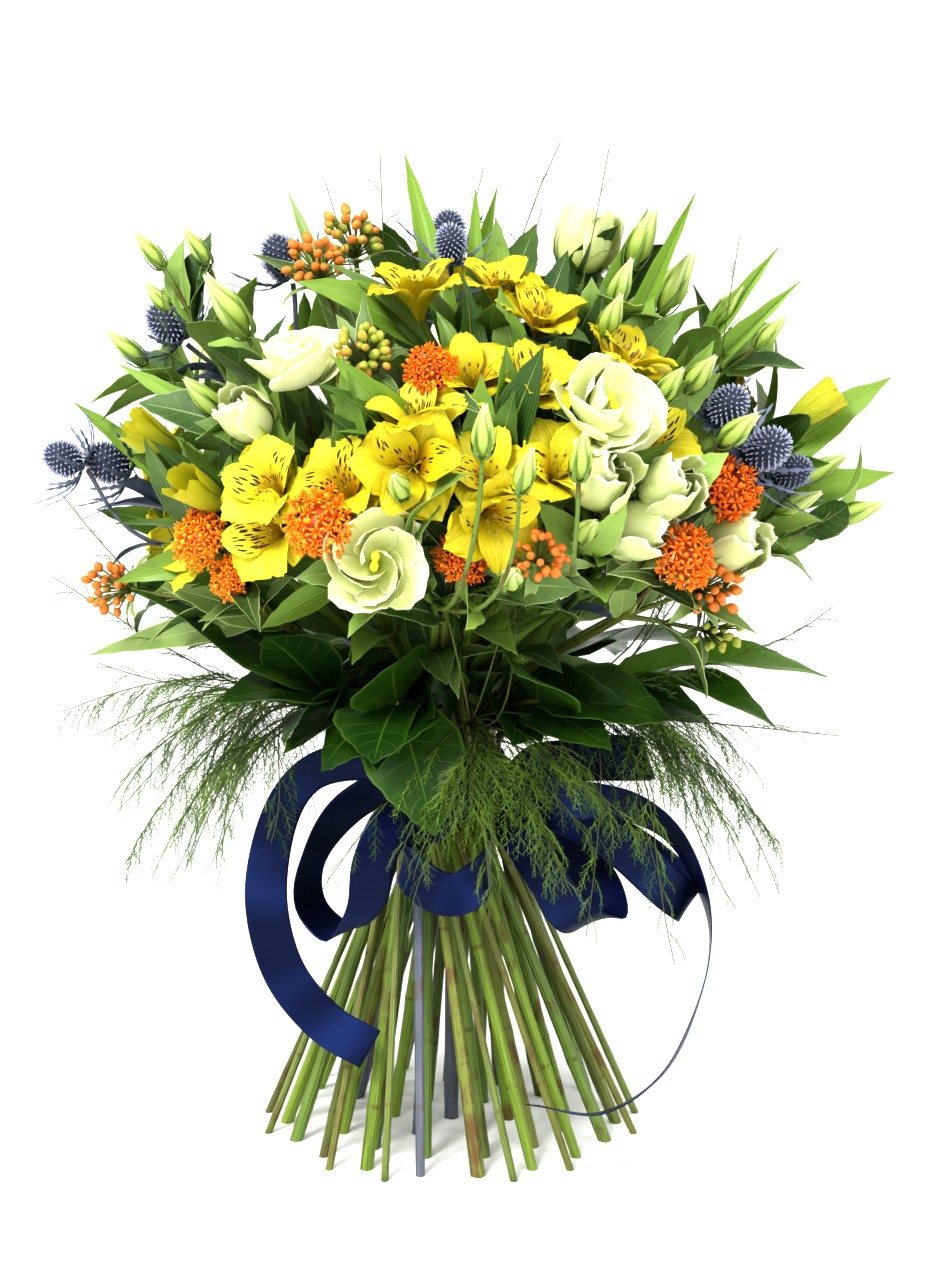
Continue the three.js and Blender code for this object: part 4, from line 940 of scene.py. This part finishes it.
# Alstroemeria
# Bright yellow blooms: three broad tepals with ruffled edges and a small point, and three
# narrower ones, two of them marked with short dark dashes. The long leaves twist and have
# parallel veins.
YELLOW = (0.80, 0.725, 0.05)
DEEP_YELLOW = (0.58, 0.48, 0.01)
THROAT = (0.86, 0.40, 0.008)
GREENISH = (0.38, 0.46, 0.03)
DASH = (0.05, 0.012, 0.006)


def yellow_tepal(name, marks=False, young=0.0):
    material, wire = finish(name, 0.46, glow=0.16, depth=(0.004, 0.003, 0.001))
    up, side, tint = coats(wire)
    away = abs(side * 2 - 1)
    veins = wire.noise(wire.joined(up * 2, side * 30, tint * 7), 1.0, 3.0)
    yellow = (veins * 0.8 + (tint - 0.5) * 0.5).over(0.15, 0.8).mixed(DEEP_YELLOW, YELLOW)
    stripe = (1 - away.over(0.0, 0.22)) * (1 - up.over(0.35, 0.95))
    point = up.over(0.9, 1.0) * (1 - away.over(0.05, 0.35))
    green = wire.math("MAXIMUM", stripe * 0.5, point * 0.6) + (1.35 - up) * young
    base = green.mixed(yellow, GREENISH)
    if marks:
        base = ((1 - up.over(0.2, 0.6)) * 0.6).mixed(base, THROAT)
        cells = wire.joined(up * 4.6, side * 12.5, tint * 40)
        dots = wire.node("ShaderNodeTexVoronoi", {"feature": "F1"},
                         {"Vector": cells, "Scale": 1.0, "Randomness": 0.8})
        inside = up.over(0.2, 0.3) * (1 - up.over(0.8, 0.9)) * (1 - away.over(0.78, 0.92))
        base = ((1 - dots.over(0.33, 0.39)) * inside).mixed(base, DASH)
    base.feeds("Base Color")
    veins.raises(0.0014)
    return material


alstroemeria_skins = [
    stem_skin("alstroemeria_stem", (0.07, 0.13, 0.012), (0.24, 0.34, 0.04), (0.14, 0.08, 0.02)),
    yellow_tepal("plain_tepal"),
    leaf_skin("alstroemeria_leaf", (0.024, 0.07, 0.008), (0.20, 0.325, 0.045),
              (0.29, 0.40, 0.09), 0.34, parallel=0.35),
    yellow_tepal("marked_tepal", marks=True),
    speckled("brown_anther", 0.7, 1200.0, 0.1, (0.2, 0.12, 0.03), (0.42, 0.3, 0.07)),
    yellow_tepal("young_tepal", young=0.7),
]

BROAD = [0.12, 0.24, 0.52, 0.9, 1, 0.94, 0.55]
NARROW = [0.2, 0.36, 0.66, 0.95, 1, 0.8, 0.3]
FILAMENT = curve([Vector(place) for place in
                  ((0, 0, 0), (0, 0, 10.5), (1.5, 0, 18.9), (5, 0, 21))], 4)


def lily(seed):
    plant = bunch()
    for i in range(3):
        tip = (28.5, 21 - (i + seed) % 2 * 2.5)
        leaf = petal(((1.5, -3), (5, 11), (16, 21), tip), 16.5, BROAD, (12, 10), cup=0.14,
                     rounded=0.12, ruffle=1.9, phase=i * 2 + seed, point=2.5)
        put(plant, leaf, around(i, 3, 4))
    for i in range(3):
        leaf = petal(((1.5, -2), (4, 13), (12, 24), (25.5 - i, 27)), 10.5, NARROW, (10, 6),
                     cup=0.25, ruffle=1.0, waves=2.5, phase=i + seed, point=1.5,
                     material=1 if i == 0 else 3)
        put(plant, leaf, around(i, 3, -5, 0.5))
    for i in range(6):
        turn = around(i, 6, offset=0.2)
        put(plant, stalk([turn @ place for place in FILAMENT], (0.55, 0.4), 4, material=1))
        put(plant, ball(5, 4, (0.9, 0.9, 2.1), FILAMENT[-1], material=4), turn)
    return gathered(plant)


def half_open(seed):
    plant = bunch()
    for i in range(6):
        tip = (9.5 + (i + seed) % 3 * 1.5, 34)
        leaf = petal(((1.5, -2), (10, 4), (9.5, 22), tip), 7.5 if i % 2 else 6, BROAD, (9, 5),
                     cup=0.2, wrap=0.7, ruffle=0.6, phase=i, point=1.5, material=5)
        put(plant, leaf, around(i, 6, 4))
    return gathered(plant)


alstroemeria_heads = {"lily": [lily(seed) for seed in range(3)],
                      "tube": [half_open(seed) for seed in range(2)]}
LANCE = [0.12, 0.5, 0.9, 1, 0.85, 0.5, 0.02]
long_blades = blades(LANCE, 0.12, 2, ((24, 0.35, 0, 0.1), (60, 0.3, 60, 0.1),
                                      (42, 0.5, -70, 0.1)), rows=14)
for stem, plant in begun("alstroemeria", 0.3, 0.7):
    set_heads(plant, stem, alstroemeria_heads)
    grow_long(plant, stem, long_blades[0])
    leafy(plant, stem, long_blades, length=80, half=11, count=15, lean=0.9, tint=0.9)
    planted(stem, plant, alstroemeria_skins)

# Milkweed
# Vivid orange domes of small stars with upright hoods, and tight bunches of round buds, orange
# or green. The narrow leaves have a pale rib and rim.
ORANGE = (1.0, 0.38, 0.014)
DEEP_ORANGE = (0.92, 0.21, 0.005)
BUD_GREEN = (0.34, 0.40, 0.06)
BUD_ORANGE = (0.68, 0.20, 0.03)
BUD_TIP = (0.35, 0.12, 0.03)
ORANGE_DEPTH = (0.002, 0.001, 0.001)


def star_skin(name, deep, light):
    material, wire = finish(name, 0.45, glow=0.12, depth=ORANGE_DEPTH)
    tint = coats(wire)[2]
    cloud = wire.cloud(240.0, 2.0)
    (cloud * 0.7 + tint * 0.4).over(0.3, 0.85).mixed(deep, light).feeds("Base Color")
    cloud.raises(0.0005, 0.4)
    return material


def bud_skin():
    """Round buds, green or flushed orange, each by its own draw"""
    material, wire = finish("milkweed_bud", 0.4, glow=0.1, depth=ORANGE_DEPTH)
    up, _, tint = coats(wire)
    ripe = tint * 0.8 + (wire.cloud(130.0, 1.0) - 0.4) * 1.1 + (up - 0.5) * 0.4
    flushed = ripe.over(0.3, 0.8).mixed(BUD_GREEN, BUD_ORANGE)
    (up.over(0.9, 1.0) * 0.6).mixed(flushed, BUD_TIP).feeds("Base Color")
    return material


milkweed_skins = [
    stem_skin("milkweed_stem", (0.06, 0.09, 0.015), (0.22, 0.25, 0.05), (0.14, 0.06, 0.025)),
    star_skin("orange_star", DEEP_ORANGE, ORANGE),
    leaf_skin("milkweed_leaf", (0.05, 0.10, 0.025), (0.24, 0.34, 0.11), (0.50, 0.58, 0.25), 0.45,
              net=0.2, rim=0.9),
    bud_skin(),
    star_skin("orange_core_painted_shade", (0.30, 0.045, 0.006), (0.55, 0.10, 0.008)),
]


def star(lean):
    """One floret: five swept-back petals, and five hoods like small pointed horns"""
    plant = bunch()
    arm = ball(4, 3, (3.0, 0.95, 0.5), (2.9, 0, 0.6),
               rule=lambda v: Vector((v.x, v.y, v.z - 2 * v.x * v.x)))
    horn = ball(3, 3, (0.65, 0.75, 3.0), (1.4, 0, 2.6))
    for i in range(5):
        put(plant, arm, around(i, 5))
        put(plant, horn, around(i, 5, offset=0.5) @ Matrix.Rotation(radians(lean), 4, "Y"))
    return gathered(plant)


def spread(count, low, radius, height, base):
    """Places spread evenly over a dome, from low up to its top, with their directions"""
    for i in range(count):
        z = low + (1 - low) * (i + 0.5) / count
        turn = i * pi * (3 - sqrt(5))
        x, y = sqrt(1 - z * z) * cos(turn), sqrt(1 - z * z) * sin(turn)
        place = Vector((x * radius, y * radius, base + (1 + z) * height / 2))
        yield place, Vector((x / radius, y / radius, 2 * z / height)).normalized()


stars = [star(14), star(-7)]


def dome_of_stars(seed):
    plant = bunch()
    # A dark orange ball inside the dome of florets: painted shade between them
    put(plant, ball(10, 8, (13, 13, 10.5), (0, 0, 11), material=4))
    bead = ball(6, 4, (1.9, 1.9, 3), (0, 0, 1))
    for i, (place, facing) in enumerate(spread(54, -0.45, 16.5, 25, -1)):
        place = place + facing * (5 * draw() - 2)
        aside = Vector((draw() - 0.5, draw() - 0.5, draw() - 0.2))
        facing = (facing + aside * 0.9).normalized()
        if (i + seed) % 6 == 0:
            put(plant, bead, stood(place, facing, i))
        else:
            put(plant, stars[i % 2], stood(place, facing, i, 0.85 + 0.3 * draw()))
    return gathered(plant)


def bunch_of_buds(seed):
    """Round buds on thin stalks, all from one point, with small leaves under them"""
    plant = bunch()
    foot = Vector((0, 0, 1))
    bead = ball(8, 6, (2.6, 2.6, 3.4), material=3,
                rule=lambda v: v * (1 + 0.06 * cos(5 * atan2(v.y, v.x)) * max(0, v.z)))
    for i, (place, facing) in enumerate(spread(27, -0.55, 12.5, 25, -1)):
        aside = Vector((sin(11 * i), sin(17 * i + 2), sin(23 * i)))
        place = place + facing * (6 * draw() - 2) + aside * 1.8
        facing = (facing + Vector((sin(5 * i), sin(7 * i + 1), 0.3)) * 0.4).normalized()
        put(plant, bead, stood(place, facing, i, 0.75 + 0.4 * draw()))
        put(plant, stalk([foot, place * 0.5 + foot, place], (0.6, 0.6), 3))
    for i in range(4):
        leaf = petal(((2, -2), (13, 1), (21, 1), (27, 4 * (i % 2) - 5)), 4.2,
                     [0.3, 1, 0.8, 0.05], (5, 4), cup=0.2, material=2)
        put(plant, leaf, around(i, 4, offset=0.4))
    return gathered(plant)


milkweed_heads = {"cluster": [dome_of_stars(seed) for seed in range(3)],
                  "berries": [bunch_of_buds(seed) for seed in range(2)],
                  "bud": [bunch_of_buds(3)]}
SLIM = [0.3, 0.85, 1, 0.8, 0.4, 0.02]
slim_leaves = blades(SLIM, 0.13, 2, ((24, 0.3, 0, 0.15), (70, 0.4, 20, 0.15),
                                     (40, 0.5, -40, 0.15)))
for stem, plant in begun("milkweed", 0.3, 0.6):
    set_heads(plant, stem, milkweed_heads)
    grow_long(plant, stem, slim_leaves[0])
    leafy(plant, stem, slim_leaves, length=56, half=8, count=14, lean=0.7, tint=0.75)
    planted(stem, plant, milkweed_skins)


# Sea holly
# Steel-blue cones packed with small spiny florets, on a ruff of narrow spiny bracts. The
# ridged stems are blue-grey.
def holly_skin(name, deep, light, metallic):
    material, wire = finish(name, 0.5, Metallic=metallic)
    up, _, tint = coats(wire)
    cloud = wire.cloud(160.0, 3.0)
    # Darker towards the feet of spikes, bracts and leaves and paler at their tips, painted shade
    # between them, with a random tone
    shade_and_tone = (up * 0.55 + cloud * 0.6 + (tint - 0.5) * 0.2).over(0.3, 0.9)
    shade_and_tone.mixed(deep, light).feeds("Base Color")
    cloud.raises(0.0006, 0.5)
    return material


holly_skins = [
    stem_skin("sea_holly_stem", (0.07, 0.08, 0.11), (0.19, 0.21, 0.26), (0.13, 0.10, 0.06), 0.1),
    holly_skin("sea_holly_floret", (0.014, 0.018, 0.04), (0.46, 0.49, 0.64), 0.0),
    holly_skin("sea_holly_bract", (0.05, 0.07, 0.10), (0.18, 0.21, 0.32), 0.1),
    speckled("sea_holly_core_painted_shade", 0.7, 500.0, 0.2, (0.012, 0.016, 0.03), (0.05, 0.06, 0.1)),
]
SPINY = [0.7, 1, 0.35, 1, 0.3, 0.9, 0.25, 0.75, 0.2, 0.5, 0.12, 0.3, 0.03]
BRACT_HALF = 3.4
SPIKE_LENGTH = 4


def spiny_bract(line):
    handles = [Vector(handle) for handle in line]

    def rule(u, v):
        s = 2 * v - 1
        place = bezier(handles, u)
        wide = BRACT_HALF * SPINY[round(u * 12)]
        return Vector((place.x + abs(s) * wide * 0.6, s * wide, place.y + abs(s) * wide * 0.35))

    return skin(12, 2, rule, thick=0.4, material=2)


spike = bunch()
bmesh.ops.create_cone(spike, cap_ends=True, segments=4, radius1=0.9, radius2=0.42,
                      depth=SPIKE_LENGTH)
coated(spike, 1, lambda co: (co.z / SPIKE_LENGTH + 0.5, 0.5), smooth=False)
spike = gathered(spike)


def spiny_cone(seed):
    plant = bunch()
    # The cone's body under the spikes is painted near black, as painted shade between them
    put(plant, ball(14, 10, (10, 10, 13), (0, 0, 18.5), material=3), tint=0.1)
    for i, (place, facing) in enumerate(spread(160, -0.8, 10.4, 27, 5)):
        put(plant, spike, stood(place, facing, i))
    for i in range(10):
        rise = (i + seed) % 3 * 3
        leaf = spiny_bract(((2, 5), (13, 1), (25, 6 + rise), (35 + i % 2 * 3, 18 + rise)))
        put(plant, leaf, around(i, 10))
    return gathered(plant)


holly_heads = {"thistle": [spiny_cone(seed) for seed in range(2)]}
for stem, plant in begun("sea_holly", 0.2, 0.6):
    set_heads(plant, stem, holly_heads)
    leafy(plant, stem, slim_leaves[1:], length=40, half=5, count=7, lean=0.9, tint=0.75)
    planted(stem, plant, holly_skins)

# Salal
# The collar under the blooms: broad, leathery, pointed leaves, dark glossy green above, with a
# pale rib and curved side veins. One on the far right is painted paler, a painted highlight
# where it catches the light.
salal_skins = [
    stem_skin("salal_stem", (0.06, 0.07, 0.015), (0.19, 0.20, 0.04), (0.12, 0.06, 0.02)),
    leaf_skin("salal_leaf", (0.011, 0.045, 0.005), (0.11, 0.23, 0.02), (0.12, 0.22, 0.03), 0.28,
              net=0.35, rim=0.4, coat=0.12, spine=0.04, gloss=0.22),
]
HEART = [0.2, 0.78, 1, 0.98, 0.74, 0.42, 0.02]
FULLER = 1.15
broad_leaves = blades(HEART, 0.22, 1, ((38, 0.25, 0, 0.1), (45, 0.3, 12, 0.14),
                                       (30, 0.2, -12, 0.14)), rows=16, columns=8)
for stem, plant in begun("salal", 0.3, 0.6, sides=7):
    for i, (x, y, z, half) in enumerate(stem.tips):
        up = Vector((x, y, 0)).normalized() * 0.8 + Vector((0, 0, 0.8))
        # The first leaf of the far right stem gets a paler tint, a painted highlight; the others get
        # a random darker tone
        pale = 1.1 if stem.name == "salal_far_right" and i == 0 else draw() * 0.35
        grow_leaf(plant, stem.name, broad_leaves[i % 3], stem.fork - stem.aim * 2,
                  Vector((x, y, z)), half * FULLER, up, pale)
    leafy(plant, stem, broad_leaves, length=74, half=21, count=6, lean=1.1, tint=0.3)
    planted(stem, plant, salal_skins)

# Asparagus fern
# Wispy sprays: a thin wiry rib that droops or arches, with side twigs to the right and left,
# each set with fine threads and short bright green needles.
RIB_RADII = (0.65, 0.25)
TWIG_LENGTH = 98
NEEDLE_LENGTH = 12
THREAD_LENGTH = 34
NEEDLE_RADIUS = 0.8


def needle_skin():
    material, wire = finish("fern_needle", 0.5)
    tint = coats(wire)[2]
    cloud = wire.cloud(90.0, 2.0)
    green = (cloud * 0.7 + tint * 0.5).over(0.25, 0.9)
    green.mixed((0.028, 0.07, 0.006), (0.15, 0.24, 0.025)).feeds("Base Color")
    (0.42 + cloud * 0.2).feeds("Roughness")
    return material


fern_skins = [
    stem_skin("fern_stem", (0.06, 0.10, 0.015), (0.20, 0.25, 0.06), (0.15, 0.10, 0.03)),
    needle_skin(),
]


def fine_point(length):
    """A needle or a thread: a three-sided point lying along X"""
    form = bunch()
    bmesh.ops.create_cone(form, cap_ends=True, segments=3, radius1=NEEDLE_RADIUS, radius2=0,
                          depth=length)
    bmesh.ops.remove_doubles(form, verts=form.verts, dist=1e-4)
    coated(form, 1, lambda co: (co.z / length + 0.5, 0.5), smooth=False)
    bmesh.ops.translate(form, verts=form.verts, vec=(0, 0, length / 2))
    bmesh.ops.rotate(form, verts=form.verts, cent=(0, 0, 0),
                     matrix=Matrix.Rotation(pi / 2, 3, "Y"))
    return gathered(form)


needle = fine_point(NEEDLE_LENGTH)
thread = fine_point(THREAD_LENGTH)


def laid(place, facing, size=1):
    """Lays a form out from a point along a direction"""
    turn = facing.normalized().to_track_quat("X", "Z").to_matrix().to_4x4()
    return Matrix.Translation(place) @ turn @ Matrix.Scale(size, 4)


def needly_twig(seed):
    """A drooping twig with finer threads by turns and short needles in tufts"""
    def place_on(share):
        return Vector((share * TWIG_LENGTH, 6 * seed * share * share, 5 * share - 27 * share ** 3))

    plant = bunch()
    line = [(0, 0, 0), (35, seed, 2), (70, 3 * seed, -5), (TWIG_LENGTH, 6 * seed, -22)]
    put(plant, stalk(line, (1.0, 0.4), 3, spacing=25, material=1))
    for i in range(13):
        spin = i * 2.4 + seed
        facing = Vector((1.1, cos(spin), sin(spin) * 0.6))
        put(plant, needle, laid(place_on(0.1 + 0.9 * i / 13), facing))
    for i in range(7):
        share = 0.12 + 0.76 * i / 7
        start = place_on(share)
        hand = 1 if i % 2 else -1
        out = Vector((1.0, 0.75 * hand, 0.3 * sin(i + seed) - 0.35)).normalized()
        size = 1.1 - 0.6 * share
        put(plant, thread, laid(start, out, size))
        for k in range(4):
            place = start + out * THREAD_LENGTH * size * (0.2 + 0.2 * k)
            side = out + Vector((0, 0.9 if k % 2 else -0.9, 0.5 * sin(3 * k + i)))
            put(plant, needle, laid(place, side, 0.8))
    return gathered(plant)


twigs = [needly_twig(seed) for seed in (-1, 0, 1)]
# The tips of loose wisps that reach out of the bunch
WISPS = {
    "fern_left": [(-228, -40, 395), (-165, -60, 515), (-205, -70, 300), (-238, -25, 345)],
    "fern_front": [(52, -90, 560), (-70, -70, 575), (-20, -150, 190), (92, -40, 596)],
    "fern_right": [(170, -20, 545), (225, -50, 330), (232, -35, 250)],
    "fern_back": [(20, 60, 588), (-60, 120, 520), (-42, 10, 598), (66, 20, 602)],
    "fern_back_right": [(120, 60, 560), (200, 80, 420)],
    "fern_far_left": [(-180, 60, 500), (-215, 40, 430)],
}


def spray(plant, start, aim, tip, count, reach, droop=0.6):
    """A frond: a drooping rib, with a twig to the right and the left by turns"""
    drop = (Vector((0, 0, -droop)) + (tip - start).normalized()).normalized()
    span = (tip - start).length * 0.4
    bow = Vector((draw() - 0.5, draw() - 0.5, draw() - 0.5)) * span * 0.8
    handles = (start, start + aim * span + bow, tip - drop * span - bow * 0.6, tip)
    put(plant, stalk(curve(handles, 14), RIB_RADII, 5, spacing=8), tint=0.2)
    side = Vector((0, 0, 1)).cross(tip - start).normalized()
    hang = Vector((0, 0, max(0.1, droop) * 0.7))
    for i in range(count):
        t = 0.28 + 0.7 * i / count
        place = bezier(handles, t)
        ahead = (bezier(handles, t + 0.02) - place).normalized()
        hand = 1 if i % 2 else -1
        length = reach * (1 - 0.6 * t) * (0.75 + 0.35 * draw())
        facing = ahead * 0.75 + side * hand * 0.6 + ahead.cross(side) * (draw() - 0.5) * 0.9 - hang
        put(plant, twigs[i % 3], laid(place, facing, length / 100), tint=draw())


for stem, plant in begun("fern", 0.3, 0.5, sides=7):
    for i, (x, y, z, count) in enumerate(stem.tips):
        start = stem.fork - stem.aim * (1 + 3 * i)
        spray(plant, start, stem.aim, Vector((x, y, z)), count, 62)
        for turn in (-36, -16, 14, 32):
            other = Matrix.Rotation(radians(turn), 3, "Z") @ Vector((x, y, z + turn)) * 0.93
            spray(plant, start, stem.aim, other, 12, 44)
    for tip in WISPS.get(stem.name, []):
        spray(plant, stem.fork, stem.aim, Vector(tip), 15, 40, -0.1)
    planted(stem, plant, fern_skins)

# Ribbon
# Navy satin, 25 mm wide: wound once round the tie and knotted in front, with five loops and
# two tails. Each loop or tail is gathered in small pleats where it enters the knot.
RIBBON_WIDTH = 25
RIBBON_THICK = 0.5
GATHERED = 0.34
GATHERED_OVER = 30
STRIP_ROWS = 72
BAND = ((36, 209), (31.5, 234))
BAND_CLEAR = 0.9
KNOT = Vector((22.5, -36.8, 216))
KNOT_RADIUS = 9.5
NAVY = (0.002, 0.004, 0.022)
# The lighter blue is a painted sheen highlight, laid in bands over the navy
PAINTED_SHEEN_BLUE = (0.013, 0.028, 0.115)
# A strip: which way it leaves the knot, which way a loop comes back, and its path, in places
# with the direction across the ribbon there
STRIPS = {
    "ribbon_loop_left": ((-1, -0.4, 0.45), (-1, -0.6, -0.05), [
        (-22, -58, 229, 0, -0.4, 0.9), (-60, -50, 210, -0.6, -0.5, 0.6),
        (-82, -46, 176, -0.6, -0.8, 0), (-83, -52, 150, -0.65, -0.7, -0.1),
        (-64, -68, 137, -0.8, -0.5, -0.25), (-49, -82, 158, -0.9, -0.3, -0.2),
        (-44, -84, 186, -1, -0.15, 0), (-28, -72, 210, -0.9, -0.2, 0.4)]),
    "ribbon_loop_centre": ((-0.7, -0.6, -0.5), (-0.1, -0.7, -0.8), [
        (-16, -60, 200, 0, 0.2, 1), (-28, -76, 185, 0, 0.25, 1), (-10, -96, 171, 0, 0.25, 1),
        (8, -98, 170, 0, 0.25, 1), (22, -84, 184, 0, 0.2, 1)]),
    "ribbon_loop_right": ((0.45, -0.8, -0.5), (0.5, -0.1, -0.9), [
        (41, -72, 198, 0.77, -0.2, 0.55), (57, -90, 175, 0.77, -0.2, 0.55),
        (73, -88, 152, 0.95, 0.1, 0.2), (92, -70, 149, 0.9, 0.3, 0.2),
        (87, -56, 167, 0.85, 0.2, 0.45), (65, -48, 188, 0.8, 0.1, 0.55)]),
    "ribbon_loop_far_right": ((0.9, -0.7, -0.05), (0.95, -0.1, -0.4), [
        (65, -66, 210, 0.25, 0, 0.95), (99, -78, 193, 0.5, 0, 0.85),
        (128, -74, 166, 0.57, -0.1, 0.82), (143, -58, 153, 0.57, 0.2, 0.8),
        (130, -48, 168, 0.57, 0.1, 0.82), (96, -40, 190, 0.4, 0, 0.9)]),
    "ribbon_loop_upper": ((0.85, -0.3, 0.5), (0.7, 0.15, 0.75), [
        (59, -60, 236, 0, 0.1, 1), (91, -62, 243, 0, 0.1, 1), (116, -50, 239, -0.25, 0, 1),
        (114, -30, 234, -0.25, 0, 1), (84, -24, 233, 0, 0.1, 1), (52, -30, 232, 0, 0.1, 1)]),
    "ribbon_tail_left": ((-0.6, 0, 0.85), None, [
        (-29, -66, 239, -0.1, -0.2, 1), (-64, -72, 241, -0.3, -0.4, 0.9),
        (-87, -76, 230, -0.6, -0.5, 0.6), (-102, -78, 202, -0.9, -0.4, 0.2),
        (-108, -78, 160, -1, -0.2, 0), (-98, -80, 118, -0.95, -0.2, -0.25),
        (-74, -84, 88, -0.65, -0.2, -0.75), (-47, -86, 72, -0.6, -0.1, -0.8)]),
    "ribbon_tail_right": ((0.9, -0.65, 0.4), None, [
        (71, -84, 222, 0, -0.3, 1), (109, -84, 215, 0.3, -0.6, 0.75),
        (138, -74, 188, 0.3, -0.9, 0.3), (154, -66, 139, -0.09, -0.96, 0.26),
        (145, -76, 93, -0.08, -0.95, 0.3), (123, -98, 59, -0.08, -0.95, 0.31),
        (87, -118, 44, -0.05, -0.95, 0.33), (47, -128, 53, -0.02, -0.94, 0.34)]),
}


def satin():
    material, wire = finish("navy_satin", 0.34, Specular_IOR_Level=0.45,
                            Specular_Tint=(0.35, 0.5, 1, 1))
    up, side, _ = coats(wire)
    # Soft bands across the ribbon are painted a lighter blue, a painted sheen highlight, broken by
    # the fine weave of threads
    lights = wire.noise(wire.joined(up * 9, side * 0.3, 0.0), 1.0, 0.0)
    threads = wire.noise(wire.joined(up * 500, side * 60, 0.0), 1.0, 1.0)
    painted_sheen = lights.over(0.42, 0.84) * (0.55 + threads * 0.7)
    painted_sheen.mixed(NAVY, PAINTED_SHEEN_BLUE).feeds("Base Color")
    (0.36 - painted_sheen * 0.1 + threads * 0.1).feeds("Roughness")
    hem = abs(side * 2 - 1).over(0.9, 0.94)
    (threads * 0.3 + hem * 0.5).raises(0.0002, 0.4)
    return material


satin_skin = satin()


def smooth_path(places, count):
    """A curve through every place, read at even shares of its length, and that length"""
    rounds = [2 * places[0] - places[1], *places, 2 * places[-1] - places[-2]]
    dense = []
    for a, b, c, d in zip(rounds, rounds[1:], rounds[2:], rounds[3:]):
        for step in range(12):
            t = step / 12
            dense.append(0.5 * (2 * b + (c - a) * t + (2 * a - 5 * b + 4 * c - d) * t * t
                                + (3 * b - a - 3 * c + d) * t ** 3))
    line, run = measured([*dense, places[-1]])
    return read_evenly(line, run, count + 1), run[-1]


def at_knot(way, across):
    """Where a strip enters the knot, with the direction across it"""
    return Vector((*(KNOT + Vector(way).normalized() * KNOT_RADIUS * 0.8), *across))


def ribbon_strip(out, back, line):
    """A strip gathered in pleats at the knot, and its length"""
    places = [at_knot(out, line[0][3:]), *(Vector(place) for place in line)]
    if back:
        places.append(at_knot(back, line[-1][3:]))
    path, length = smooth_path(places, STRIP_ROWS)

    def rule(u, v):
        row = round(u * STRIP_ROWS)
        place, side = Vector(path[row][:3]), Vector(path[row][3:])
        ahead = Vector(path[min(row + 1, STRIP_ROWS)][:3]) - Vector(path[max(row - 1, 0)][:3])
        ahead.normalize()
        side = (side - ahead * side.dot(ahead)).normalized()
        from_knot = min(u, 1 - u) if back else u
        share = min(1, from_knot * length / GATHERED_OVER)
        wide = RIBBON_WIDTH * (GATHERED + (1 - GATHERED) * share * share * (3 - 2 * share))
        pleat = sqrt(max(0, RIBBON_WIDTH ** 2 - wide ** 2)) / 12
        fold = pleat * (1 - 4 * abs((v * 3) % 1 - 0.5))
        crease = 0.8 * sin(2 * pi * (2.6 * u + 0.35 * v)) * share
        return place + side * (v - 0.5) * wide + ahead.cross(side) * (fold + crease)

    return skin(STRIP_ROWS, 12, rule, thick=0), length / 1000


def satin_piece(name, mesh, node):
    return dressed(name, mesh, [satin_skin], node)


def thicken(piece):
    cloth = piece.modifiers.new("thickness", "SOLIDIFY")
    cloth.thickness = RIBBON_THICK / 1000
    cloth.offset = 0


for name, strip in STRIPS.items():
    mesh, length = ribbon_strip(*strip)
    piece = satin_piece(name + "_satin", mesh, name)
    thicken(piece)


def wound_band():
    """The ribbon round the stems, with soft creases drawn towards the knot"""
    (low_radius, low), (high_radius, high) = BAND
    knot_turn = atan2(KNOT.y, KNOT.x)

    def rule(u, v):
        turn = 2 * pi * u + knot_turn
        near = max(0, cos(turn - knot_turn)) ** 6
        crease = 0.6 * sin(pi * v * 5 + 3 * sin(turn)) * (0.4 + near)
        radius = low_radius + (high_radius - low_radius) * v + BAND_CLEAR + crease
        height = low + (high - low) * (0.5 + (v - 0.5) * (1 - 0.25 * near))
        return Vector((cos(turn) * radius, sin(turn) * radius, height))

    return skin(64, 14, rule, thick=0)


band = satin_piece("ribbon_band_wound", wound_band(), "ribbon_band")
thicken(band)
weld = band.modifiers.new("seam", "WELD")
weld.merge_threshold = 0.0001

# The knot is a pillow of pleats pulled tight
pillow = ball(40, 24, (KNOT_RADIUS, KNOT_RADIUS * 0.85, KNOT_RADIUS), material=0,
              rule=lambda v: v * (1 + 0.07 * sin(7 * atan2(v.z, v.y) + 2 * v.x) * (1 - v.x ** 4)))
pillow.transform(Matrix.Translation(KNOT) @ Matrix.Rotation(atan2(KNOT.x, -KNOT.y), 4, "Z"))
knot = satin_piece("ribbon_knot", pillow, "ribbon_band")
